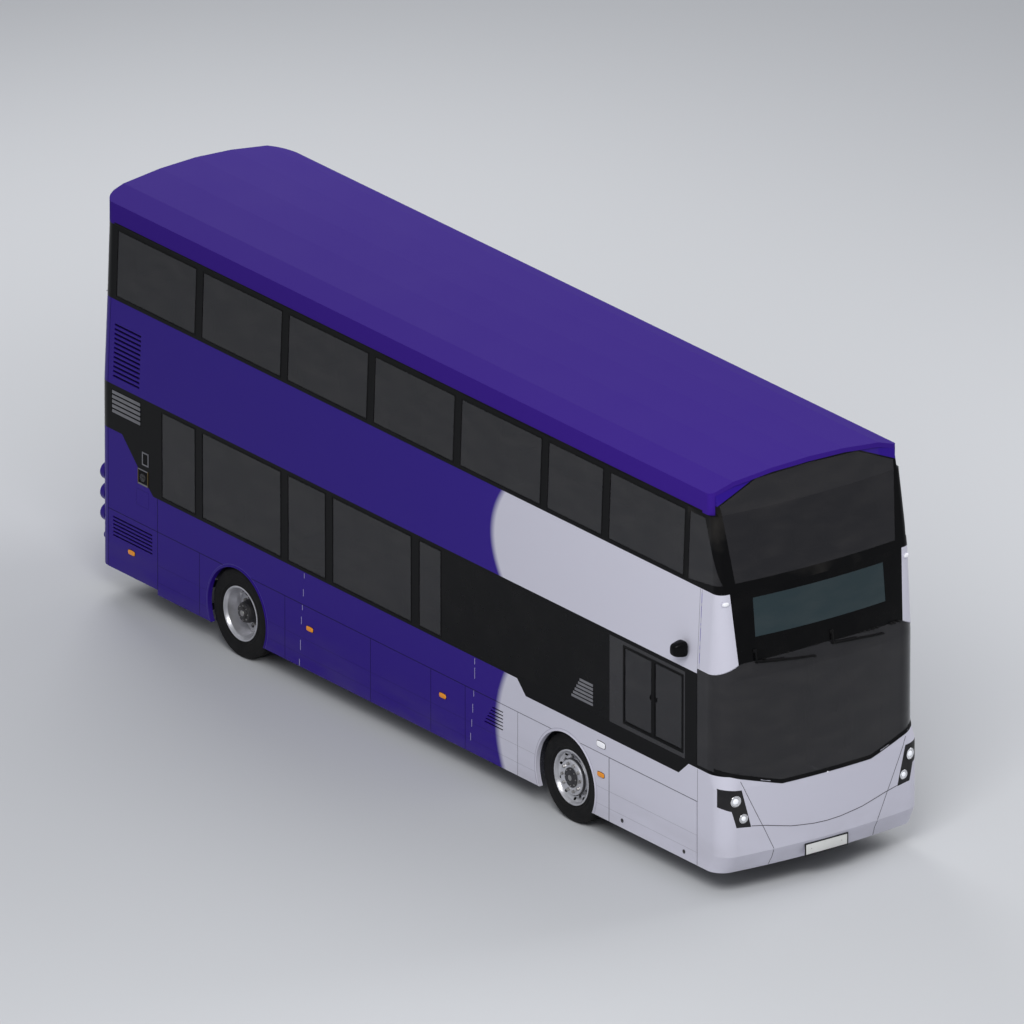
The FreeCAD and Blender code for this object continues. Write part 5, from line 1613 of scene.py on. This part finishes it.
@dataclass
class Glazing:
    """Rubber round the panes, the driver's sliding panes and the strip under the windscreen."""

    lap: float = 0.005
    bar: float = 0.014
    slider: Oblong = (-4.645, -3.632, 1.396, 2.246)
    post: Spot = (-4.164, -4.115)
    stitches: tuple[Spot, ...] = ((2.450, 2.560), (2.600, 2.640), (2.690, 2.830), (2.855, 2.880),
                                  (2.940, 3.060), (3.095, 3.200))

    def side_gaskets(self) -> None:
        """A rubber frame round each side pane, on the side that it sits in."""
        frames = []
        for node in ("lower_windows", "upper_windows"):
            for low, high in solids_of(node):
                if high.x - low.x > 0.2 or high.y - low.y > 1.6 or (low.y < -4.62 and low.z > 3.0):
                    continue
                side = -1 if low.x < 0 else 1
                frames.append(rim_frame(side, (low.y - self.lap, low.z - self.lap),
                                        (high.y + self.lap, high.z + self.lap), self.bar, 0.0022))
        dress(frames, "window_rubbers", Finish.RUBBER_TRIM)

    def driver_slider(self) -> None:
        """The frame, meeting bar, pulls and track of the driver's sliding panes."""
        y0, y1, z0, z1 = self.slider
        pieces = [rim_frame(-1, (y0, z0), (y1, z1), 0.026, 0.0050, 0.0012),
                  strip(-1, (self.post[0], z0 + 0.02), (self.post[1], z1 - 0.02), 0.0048),
                  strip(-1, (y0 + 0.02, z0 + 0.030), (y1 - 0.02, z0 + 0.034), 0.0030)]
        for y in (self.post[0] - 0.030, self.post[1] + 0.018):
            pieces.append(block((-HALF_WIDTH - 0.008, y, 1.80), (-HALF_WIDTH + 0.001, y + 0.010, 1.85), 0.003))
        dress(pieces, "driver_slider_frame", Finish.RUBBER_TRIM)

    def screen_strip(self) -> None:
        """The black sealing strips along the foot and the head of the lower windscreen."""
        skin = Skin("lower_windscreen", "front_lower_panel", "front_corner_mouldings", "front_display_panel")
        places = [step * 0.0205 for step in range(-60, 61)]
        foot = [(x, 1.168 + 0.187 * max(0.0, abs(x) - 0.56) / 0.64) for x in places]
        head = [(x, min(2.532 - 0.022 * abs(x), 2.510 - 0.504 * (abs(x) - 1.0))) for x in places]
        bands = [ribbon(skin, foot, -0.027, 0.016, 0.0025), ribbon(skin, head, -0.006, 0.006, 0.0018)]
        dress(bands, "windscreen_strips", Finish.RUBBER_TRIM)

    def moulding_stitches(self) -> None:
        """Broken lines of sealant down the joint between each pale moulding and the side."""
        lines = [strip(side, (-4.9065, low), (-4.9000, high), 0.0014) for side in (-1, 1)
                 for low, high in self.stitches]
        dress(lines, "moulding_sealant", Finish.STITCH)

    def build(self) -> None:
        """Make the glazing trim."""
        self.side_gaskets()
        self.moulding_stitches()
        self.driver_slider()
        self.screen_strip()


@dataclass
class Louvres:
    """Blades of the air grilles on the driver's side, and black backs that are painted shade in the slots."""

    edge: float = 0.018
    banks: tuple[tuple[float, float, float, float, int, float], ...] = (
        (4.631, 5.125, 2.390, 3.020, 12, 0.0), (4.407, 5.125, 0.647, 0.908, 6, 0.0),
        (-1.618, -1.263, 0.640, 0.890, 6, 0.174))
    grey_bank: tuple[float, float, float, float, int] = (4.614, 5.125, 2.016, 2.277, 5)
    stair_bank: tuple[float, float, float, float, float, int] = (-3.124, -2.915, -2.750, 1.410, 1.660, 6)

    def slots(self) -> None:
        """A black back of painted shade and a thin leaning blade in each slot, and a black strip of painted shade
        behind the grey bank.
        """
        backs, blades = [], []
        for front, rear, low, high, bars, slant in self.banks:
            pitch = (high - low) / (bars + 0.5)
            floor = lean(high) - HALF_WIDTH + 0.025
            for index in range(bars):
                z0, z1 = low + pitch * (index + 0.5), low + pitch * (index + 0.95)
                start, stop = front + self.edge, rear - self.edge - slant * (z1 - low) / (high - low)
                # A black block deep in the slot: painted shade.
                backs.append(block((floor - 0.003, start, z0), (floor + 0.001, stop, z1)))
                x, z = 0.006 - HALF_WIDTH, (z0 + z1) / 2
                blades.append(on_side(plate([
                    (x, start, z - 0.004), (x + 0.018, start, z + 0.003), (x + 0.018, start, z + 0.005),
                    (x, start, z - 0.002)], (0, stop - start, 0))))
        front, rear, low, high, _ = self.grey_bank
        # A black strip behind the grey slats: painted shade.
        backs.append(strip(-1, (front, low), (rear, high), 0.0008))
        dress(backs, "grille_painted_shade_backs", Finish.GRILLE_BLACK, slot="black_trim")
        dress(blades, "grille_blades", Finish.RUBBER_TRIM)

    def slat(self, y0: float, y1: float, z: float, height: float, proud: float = 0.004) -> Piece:
        """One slanted blade with a rounded lip.

        Args:
            y0: its front end.
            y1: its rear end.
            z: its middle's height.
            height: its height.
            proud: how far it stands out.

        Returns:
            The blade.
        """
        x = -HALF_WIDTH
        return plate([(x - proud, y0, z - height / 2), (x - proud * 0.4, y0, z + height / 2),
                      (x + 0.010, y0, z + height / 2 + 0.004), (x + 0.010, y0, z - height / 2 + 0.004)],
                     (0, y1 - y0, 0), 0.0012)

    def grey_slats(self) -> None:
        """The pale slats of the rear middle grille and of the one beside the stairs."""
        slats = []
        start, stop, z0, z1, count = self.grey_bank
        pitch = (z1 - z0) / count
        for index in range(count):
            slats.append(self.slat(start + 0.012, stop - 0.012, z0 + pitch * (index + 0.5), pitch * 0.66))
        front, top, bottom, z0, z1, count = self.stair_bank
        pitch = (z1 - z0) / count
        for index in range(count):
            share = (index + 0.5) / count
            slats.append(self.slat(front, bottom + (top - bottom) * share, z0 + pitch * (index + 0.5),
                                   pitch * 0.60, 0.005))
        dress(slats, "grey_slats", Finish.LOUVRE_GREY)

    def build(self) -> None:
        """Make the grilles."""
        self.slots()
        self.grey_slats()


@dataclass
class FuelCorner:
    """Fillers and switches in the black corner behind the last lower pane."""

    reader: Oblong = (4.483, 4.594, 1.607, 1.751)
    filler: Oblong = (4.490, 4.668, 1.383, 1.554)
    door: Oblong = (4.483, 4.697, 1.142, 1.322)

    def build(self) -> None:
        """Make the corner's pieces."""
        y0, y1, z0, z1 = self.reader
        dress(rim_frame(-1, (y0, z0), (y1, z1), 0.014, 0.005), "reader_frame", Finish.LOUVRE_GREY)
        dress(strip(-1, (y0 + 0.012, z0 + 0.012), (y1 - 0.012, z1 - 0.012), 0.0015), "reader_face",
              Finish.RUBBER_TRIM)
        y0, y1, z0, z1 = self.filler
        dress([strip(-1, (y0, z0), (y0 + 0.010, z1), 0.006),
               strip(-1, (y1 - 0.010, z0), (y1, z1), 0.006)], "filler_sides", Finish.BRASS)
        dress([strip(-1, (y0 + 0.010, z0), (y1 - 0.010, z0 + 0.016), 0.0055),
               strip(-1, (y0 + 0.010, z1 - 0.012), (y1 - 0.010, z1), 0.0055)], "filler_ends", Finish.LOUVRE_GREY)
        dress(strip(-1, (y0 + 0.010, z0 + 0.014), (y1 - 0.010, z1 - 0.010), 0.0015), "filler_face",
              Finish.RUBBER_TRIM)
        centre = (-HALF_WIDTH - 0.001, (y0 + y1) / 2, (z0 + z1) / 2)
        knob = turned(centre, (-1, 0, 0), [
            (-0.002, 0), (-0.002, 0.044), (0.004, 0.045), (0.010, 0.042), (0.012, 0.036), (0.008, 0.030),
            (0.009, 0.012), (0.012, 0.009), (0.012, 0)], 48)
        grip = block((centre[0] - 0.018, centre[1] - 0.030, centre[2] - 0.005),
                     (centre[0] - 0.006, centre[1] + 0.030, centre[2] + 0.005), 0.003)
        dress([knob, grip], "filler_cap", Finish.WHEEL_DARK, smooth=40)
        y0, y1, z0, z1 = self.door
        dress(rim_frame(-1, (y0, z0), (y1, z1), 0.004, 0.0010, 0.0003), "filler_door_joint", Finish.SEAM_FAINT)


@dataclass
class Seats:
    """Padded places of both decks, the driver's seat and the grab handles on the backs."""

    voxel: float = 0.021
    slack: float = 0.007
    cap: float = 0.009
    pressure: float = 4.0
    driver_x: float = -0.68

    def puff(self, item: Piece, cap: float, floor: float) -> Piece:
        """Fill a closed form like a stuffed cushion, flat where it rests.

        Args:
            item: the form, a little smaller than the cushion.
            cap: the furthest that a point may move.
            floor: the height that the cushion rests on.

        Returns:
            The same object, filled.
        """
        modified(item, "REMESH", mode="VOXEL", voxel_size=self.voxel)
        rest = [vertex.co.copy() for vertex in item.data.vertices]
        cloth = item.modifiers.new("cloth", "CLOTH")
        cloth.settings.use_pressure = True
        cloth.settings.uniform_pressure_force = self.pressure
        cloth.settings.effector_weights.gravity = 0.0
        for step in range(1, 21):
            bpy.context.scene.frame_set(step)
        bpy.ops.object.modifier_apply(modifier="cloth")
        bpy.context.scene.frame_set(1)
        for vertex, start in zip(item.data.vertices, rest):
            move = vertex.co - start
            if move.length > cap:
                vertex.co = start + move * (cap / move.length)
            vertex.co.z = max(vertex.co.z, floor)
        return item

    def seat_pad(self, size: Vector) -> Piece:
        """One place's seat cushion with a front roll, its low corner at the origin.

        Args:
            size: the double place's size.

        Returns:
            The cushion.
        """
        gap = self.slack
        pad = block((gap, gap, 0.002), (size.x / 2 - gap, size.y - gap, size.z - gap), 0.014)
        self.puff(pad, self.cap, 0.0)
        for vertex in pad.data.vertices:
            channel = math.exp(-((vertex.co.y - size.y * 0.27) / 0.020) ** 2)
            hollow = math.exp(-((vertex.co.x - size.x / 4) / 0.11) ** 2)
            if vertex.co.z > size.z * 0.5:
                vertex.co.z -= 0.006 * channel + 0.005 * hollow
        return pad

    def back_pad(self, size: Vector, slope: float, thick: float) -> Piece:
        """One place's back cushion with side wings and a head roll, its low corner at the origin.

        Args:
            size: the double place's size.
            slope: how far it leans back to the metre.
            thick: its thickness.

        Returns:
            The cushion.
        """
        gap = self.slack
        pad = block((gap, gap, 0.004), (size.x / 2 - gap, thick - 0.002, size.z - gap), 0.014)
        self.puff(pad, self.cap, 0.0)
        for vertex in pad.data.vertices:
            channel = math.exp(-((vertex.co.z - size.z * 0.74) / 0.020) ** 2)
            hollow = math.exp(-((vertex.co.x - size.x / 4) / 0.12) ** 2)
            if vertex.co.y < thick * 0.5:
                vertex.co.y += 0.006 * channel + 0.006 * hollow
            vertex.co.y = min(vertex.co.y, thick - 0.001)
            vertex.co.y += slope * vertex.co.z
        return pad

    def saloon(self) -> None:
        """All passenger cushions, in place of the plain pads."""
        solids = solids_of("seat_pads")
        flat = [pair for pair in solids if pair[1].z - pair[0].z < 0.2]
        tall = [pair for pair in solids if pair[1].z - pair[0].z >= 0.2]
        seat, back = flat[0][1] - flat[0][0], tall[0][1] - tall[0][0]
        thick = 0.060
        made = []
        for pairs, size, pad in ((flat, seat, self.seat_pad(seat)),
                                 (tall, back, self.back_pad(back, (back.y - thick) / back.z, thick))):
            moves = [Matrix.Translation(low + Vector((half * size.x / 2, 0, 0)))
                     for low, _ in pairs for half in (0, 1)]
            made.append(copies(pad, moves))
        seats, backs = made
        dress(seats, "saloon_seat_cushions", Finish.MOQUETTE, smooth=80, stands_for=["seat_pads"])
        dress(backs, "saloon_back_cushions", Finish.MOQUETTE, smooth=80)
        loops = []
        for low, high in tall:
            aisle = high.x if low.x < 0 else low.x
            inward = -0.022 if low.x < 0 else 0.022
            x, y = aisle + inward, high.y - 0.012
            loops.append(tube([(x, y - 0.030, high.z - 0.080), (x, y - 0.012, high.z + 0.012),
                               (x + inward, y, high.z + 0.034), (x + inward * 5.5, y, high.z + 0.034),
                               (x + inward * 6.5, y - 0.012, high.z + 0.012),
                               (x + inward * 6.5, y - 0.030, high.z - 0.050)], 0.009, 2))
        dress(loops, "seat_grab_handles", Finish.RAIL_YELLOW, smooth=60)

    def driver(self) -> None:
        """The driver's cushions on a bellows pedestal, in place of the plain seat."""
        x, y, pan = self.driver_x, -4.15, 0.94
        seat = block((x - 0.230, y + 0.010, pan + 0.004), (x + 0.230, y + 0.462, pan + 0.098), 0.024)
        self.puff(seat, 0.014, pan + 0.002)
        back = block((x - 0.220, y + 0.408, pan + 0.118), (x + 0.220, y + 0.478, pan + 0.745), 0.024)
        self.puff(back, 0.012, pan + 0.112)
        for vertex in back.data.vertices:
            rise = vertex.co.z - (pan + 0.11)
            narrow = 1.0 - 0.30 * max(0.0, (rise - 0.42) / 0.22) ** 2
            vertex.co.x = x + (vertex.co.x - x) * narrow
            wings = min(1.0, abs(vertex.co.x - x) / 0.20) ** 3
            vertex.co.y += 0.155 * rise - 0.010 * wings * (rise < 0.40)
        cushions = dress([seat, back], "driver_cushions", Finish.MOQUETTE, smooth=80, stands_for=["driver_seat"])
        centre = (x, y + 0.24, 0.56)
        rings = [(0.036 + 0.033 * step, 0.150 + 0.014 * (step % 2)) for step in range(10)]
        bellows = turned(centre, (0, 0, 1), [(0.030, 0.0), *rings, (0.336, 0.0)], 40)
        base = block((x - 0.19, y + 0.05, 0.5605), (x + 0.19, y + 0.43, 0.592), 0.006)
        tray = block((x - 0.215, y + 0.02, 0.898), (x + 0.215, y + 0.45, 0.938), 0.010)
        lever = tube([(x + 0.19, y + 0.10, 0.915), (x + 0.236, y + 0.08, 0.918), (x + 0.238, y + 0.01, 0.93)],
                     0.008, 3)
        dress([bellows, base, tray, lever], "driver_seat_base", Finish.PLASTIC, slot="interior_plastic", smooth=40)

    def build(self) -> None:
        """Make the seats."""
        self.saloon()
        self.driver()


@dataclass
class Rear:
    """Round lamps in their bosses, plate, hatch fittings, window rubber and bumper trim."""

    lamp_x: float = 1.12
    lamp_y: float = 5.355
    face_y: float = 5.370
    plate_y: float = 5.372
    plate_box: Point = (0.26, 0.322, 0.408)
    hatch_top: float = 1.486
    window_lap: float = 0.008
    joint_heights: Row = (1.829, 2.333, 3.2465)
    rows: tuple[tuple[float, float, str], ...] = ((1.277, 0.098, "amber"), (1.051, 0.098, "red"),
                                                  (0.824, 0.098, "white"), (0.570, 0.050, "reflector"))

    def lamps(self) -> None:
        """Body-coloured bosses with a ribbed lens in each."""
        bosses, rings, lenses = [], [], {"amber": [], "red": [], "white": [], "reflector": []}
        for side in (-1, 1):
            for z, r, kind in self.rows:
                centre = (side * self.lamp_x, self.lamp_y, z)
                bosses.append(turned(centre, (0, 1, 0), [
                    (-0.050, 0), (-0.050, r), (0.012, r), (0.022, r * 0.985), (0.028, r * 0.95), (0.030, r * 0.92),
                    (0.027, r * 0.90), (0.027, 0)], 64))
                rings.append(turned(centre, (0, 1, 0), [
                    (0.022, r * 0.875), (0.022, r * 0.905), (0.0315, r * 0.905), (0.033, r * 0.893),
                    (0.0315, r * 0.875)], 64))
                outline = [(0.024, 0), (0.024, r * 0.875), (0.031, r * 0.875), (0.0345, r * 0.83)]
                outline += [(0.0345 + 0.0085 * (1 - share * share) + (0.0011 if index % 2 else 0.0), r * share)
                            for index, share in enumerate((0.76, 0.70, 0.62, 0.55, 0.46, 0.38, 0.28, 0.18))]
                outline.append((0.0445, 0))
                lenses[kind].append(turned(centre, (0, 1, 0), outline, 64))
        dress(bosses, "rear_lamp_bosses", Finish.LIVERY_TRIM, smooth=40, stands_for=["rear_lamps"])
        dress(rings, "rear_lamp_rings", Finish.CHROME, smooth=40)
        # The reflectors take the red lamp finish, which glows: a painted glow on parts that are no lamp.
        for kind, finish in (("amber", Finish.AMBER), ("red", Finish.RED), ("white", Finish.LAMP_WHITE),
                             ("reflector", Finish.RED)):
            dress(lenses[kind], f"rear_{kind}_lenses", finish, slot="lamp_plastic", smooth=40)

    def plate(self) -> None:
        """A blank yellow plate with its frame, screws and lamp bar."""
        y, (half, low, high) = self.plate_y, self.plate_box
        dress(block((-half, y - 0.003, low), (half, y + 0.003, high), 0.0012), "rear_plate", Finish.PLATE_YELLOW)
        edge = open_frame(upright(y - 0.004, (-half - 0.010, low - 0.008), (half + 0.010, high + 0.008)),
                          (0, 0.009, 0), 0.011, 0.001)
        hood = block((-0.115, self.face_y - 0.002, high + 0.001), (0.115, self.face_y + 0.017, high + 0.015), 0.004)
        dress([edge, hood], "rear_plate_frame", Finish.PLASTIC)
        screw_heads("rear_plate_screws", y + 0.003, (low + high) / 2, 1)

    def hatch(self) -> None:
        """Vents, a pull and two locks on the engine hatch, all riding with it."""
        y = self.face_y
        vents = []
        for index in range(9):
            z = 1.02 + index * 0.038
            for x0 in (-0.50, 0.04):
                vents.append(plate([(x0, y - 0.001, z), (x0, y + 0.0095, z + 0.004), (x0, y + 0.0110, z + 0.008),
                                    (x0, y - 0.001, z + 0.026)], (0.46, 0, 0), 0.0012))
        dress(vents, "hatch_vents", Finish.LIVERY_TRIM, "engine_cover")
        low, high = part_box("engine_hatch")
        edges = open_frame(upright(y - 0.001, (low.x + 0.004, low.z + 0.004), (high.x - 0.004, self.hatch_top)),
                           (0, 0.0025, 0), 0.006, 0.0008)
        dress(edges, "hatch_edge", Finish.SEAM_BOTH, "engine_cover")
        cup = open_frame(upright(y - 0.001, (-0.085, 0.468), (0.085, 0.520)), (0, 0.006, 0), 0.007, 0.0015)
        pull = tube([(-0.060, y + 0.002, 0.500), (-0.055, y + 0.016, 0.500), (0.055, y + 0.016, 0.500),
                     (0.060, y + 0.002, 0.500)], 0.005, 3)
        locks = [turned((x, y, 0.494), (0, 1, 0), [
            (-0.002, 0), (-0.002, 0.019), (0.004, 0.019), (0.006, 0.016), (0.004, 0.012),
            (0.004, 0)], 32) for x in (-0.42, 0.42)]
        dress([cup, pull] + locks, "hatch_pull", Finish.PLASTIC, "engine_cover")

    def window(self) -> None:
        """The emergency window's rubber."""
        low, high = self.window_box()
        y = self.face_y - 0.001
        lap = self.window_lap
        rubber = open_frame(upright(y, (low.x - lap, low.z - lap), (high.x + lap, high.z + lap)),
                            (0, 0.004, 0), 0.020, 0.0015)
        dress(rubber, "rear_window_rubber", Finish.RUBBER_TRIM)

    @staticmethod
    def window_box() -> tuple[Vector, Vector]:
        """The rear pane: the widest solid among the upper windows."""
        return max(solids_of("upper_windows"), key=lambda box: box[1].x - box[0].x)

    def trim(self) -> None:
        """The rubbing strips, the panel joints and the reversing camera."""
        y = self.face_y
        rub = block((-1.0, y - 0.002, 0.440), (-0.66, y + 0.008, 0.462), 0.003)
        dress(mirrored(rub), "rear_rubbing_strips", Finish.RUBBER_TRIM)
        seams = [block((-1.13, y - 0.002, z - 0.003), (1.13, y + 0.0012, z + 0.003)) for z in self.joint_heights]
        dress(seams, "rear_panel_joints", Finish.SEAM_BOTH)
        eye = turned((0, y, 2.27), (0, 1, -0.5), [
            (-0.012, 0), (-0.012, 0.024), (0.010, 0.024), (0.016, 0.020), (0.012, 0.015), (0.015, 0.006),
            (0.0155, 0)], 32)
        dress(eye, "reversing_camera", Finish.PLASTIC)

    def build(self) -> None:
        """Make the rear's pieces."""
        self.lamps()
        self.plate()
        self.hatch()
        self.window()
        self.trim()


@dataclass
class SideDetails:
    """Marker lamps, gutters and doors."""

    amber: tuple[Spot, ...] = ((4.783, 0.578), (1.701, 0.718), (-0.576, 0.718), (-3.261, 0.718))
    gutter_front: float = -4.86
    gutter_rear: float = 5.16
    door_lap: float = 0.012
    rail: Spot = (0.95, 1.55)
    white: Spot = (-3.261, 1.044)

    def markers(self) -> None:
        """Domed amber markers on black pads and the white oval lamps ahead of the front wheels."""
        ambers, pads, whites = [], [], []
        for side in (-1, 1):
            x = side * HALF_WIDTH
            for y, z in self.amber:
                ambers.append(self.dome(side, (x, y, z), 0.058, 0.026, 0.014))
                pads.append(self.dome(side, (x, y, z), 0.064, 0.031, 0.004))
            whites.append(self.dome(side, (x, *self.white), 0.073, 0.033, 0.011))
            pads.append(self.dome(side, (x, *self.white), 0.079, 0.039, 0.004))
        dress(ambers, "side_markers", Finish.AMBER, smooth=60, stands_for=["marker_lamps"])
        dress(whites, "side_lamps", Finish.LAMP_WHITE, smooth=60)
        dress(pads, "marker_pads", Finish.PLASTIC, smooth=60)

    @staticmethod
    def dome(side: int, centre: Point, half_length: float, half_height: float, rise: float) -> Piece:
        """A rounded oblong lens on the body side.

        Args:
            side: -1 for the driver's side, 1 for the kerb side.
            centre: the middle of its base.
            half_length: half its length along the bus.
            half_height: half its height.
            rise: how far it stands out.

        Returns:
            The lens.
        """
        item = turned(centre, (side, 0, 0), [
            (-0.003, 0), (-0.003, 1.0), (0.45 * rise, 0.99), (0.75 * rise, 0.90), (0.93 * rise, 0.70), (rise, 0.40),
            (rise * 1.01, 0)], 40)
        for vertex in item.data.vertices:
            y, z = vertex.co.y - centre[1], vertex.co.z - centre[2]
            reach = math.hypot(y, z)
            square = max(abs(y), abs(z), 1e-9) / max(reach, 1e-9)
            grow = 1.0 / (square ** 0.55)
            vertex.co.y = centre[1] + y * grow * half_length
            vertex.co.z = centre[2] + z * grow * half_height
        item.data.update()
        return item

    def gutters(self) -> None:
        """Rain gutters between the upper panes and the roof."""
        start, outer, inner = self.gutter_front, -HALF_WIDTH - 0.006, -HALF_WIDTH + 0.004
        gutter = plate([(outer, start, 4.052), (outer, start, 4.068), (inner, start, 4.075), (inner, start, 4.052)],
                       (0, self.gutter_rear - start, 0), 0.002)
        for vertex in gutter.data.vertices:
            vertex.co.x += LEAN_TOP
        dress(mirrored(gutter), "gutters", Finish.RUBBER_TRIM, smooth=50)

    def doors(self) -> None:
        """Edge rubbers, glazing rubbers, pulls and kick plates on both leaves, riding with them."""
        for name, near in (("front_door", 1), ("rear_door", -1)):
            low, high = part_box(f"{name}_leaf")
            glass_low, glass_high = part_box(f"{name}_glass")
            outer = high.x
            y = high.y if near > 0 else low.y
            edge = block((outer - 0.030, min(y, y + near * 0.0045), low.z + 0.004),
                         (outer - 0.002, max(y, y + near * 0.0045), high.z - 0.004), 0.002)
            lap, x = self.door_lap, outer - 0.003
            y0, y1, z0, z1 = glass_low.y - lap, glass_high.y + lap, glass_low.z - lap, glass_high.z + lap
            rubber = open_frame([(x, y0, z0), (x, y1, z0), (x, y1, z1), (x, y0, z1)], (0.0045, 0, 0), 0.022, 0.0015)
            brush = block((outer - 0.001, low.y + 0.03, low.z + 0.0125),
                          (outer + 0.0012, high.y - 0.03, low.z + 0.0215))
            dress([edge, rubber, brush], f"{name}_rubbers", Finish.RUBBER_TRIM, name)
            inner = glass_low.x - 0.002
            z0, z1 = self.rail
            y = glass_low.y + 0.045 if near < 0 else glass_high.y - 0.045
            rail = tube([(inner - 0.012, y, z0), (inner - 0.040, y, z0 + 0.03), (inner - 0.040, y, z1 - 0.03),
                         (inner - 0.012, y, z1)], 0.012, 4)
            dress(rail, f"{name}_pull", Finish.RAIL_YELLOW, name, smooth=60)
            kick = block((outer - 0.001, low.y + 0.03, low.z + 0.022),
                         (outer + 0.0012, high.y - 0.03, low.z + 0.095), 0.0005)
            dress(kick, f"{name}_kick_plate", Finish.STUD, name)

    def build(self) -> None:
        """Make the side details."""
        self.markers()
        self.gutters()
        self.doors()


def main() -> None:
    """Build the bus's pieces in order."""
    logging.basicConfig(level=logging.INFO, format="%(message)s", stream=sys.stdout)
    wheels = [WheelSet(end, side) for end in ("front", "rear") for side in (-1, 1)]
    for part in (Studio(), PanelDresser(), *wheels, SidePanels(), Front(), Glazing(), Louvres(), Seats(),
                 FuelCorner(), Rear(), SideDetails()):
        LOG.info("making %s", type(part).__name__)
        part.build()


if __name__ == "__main__":
    main()
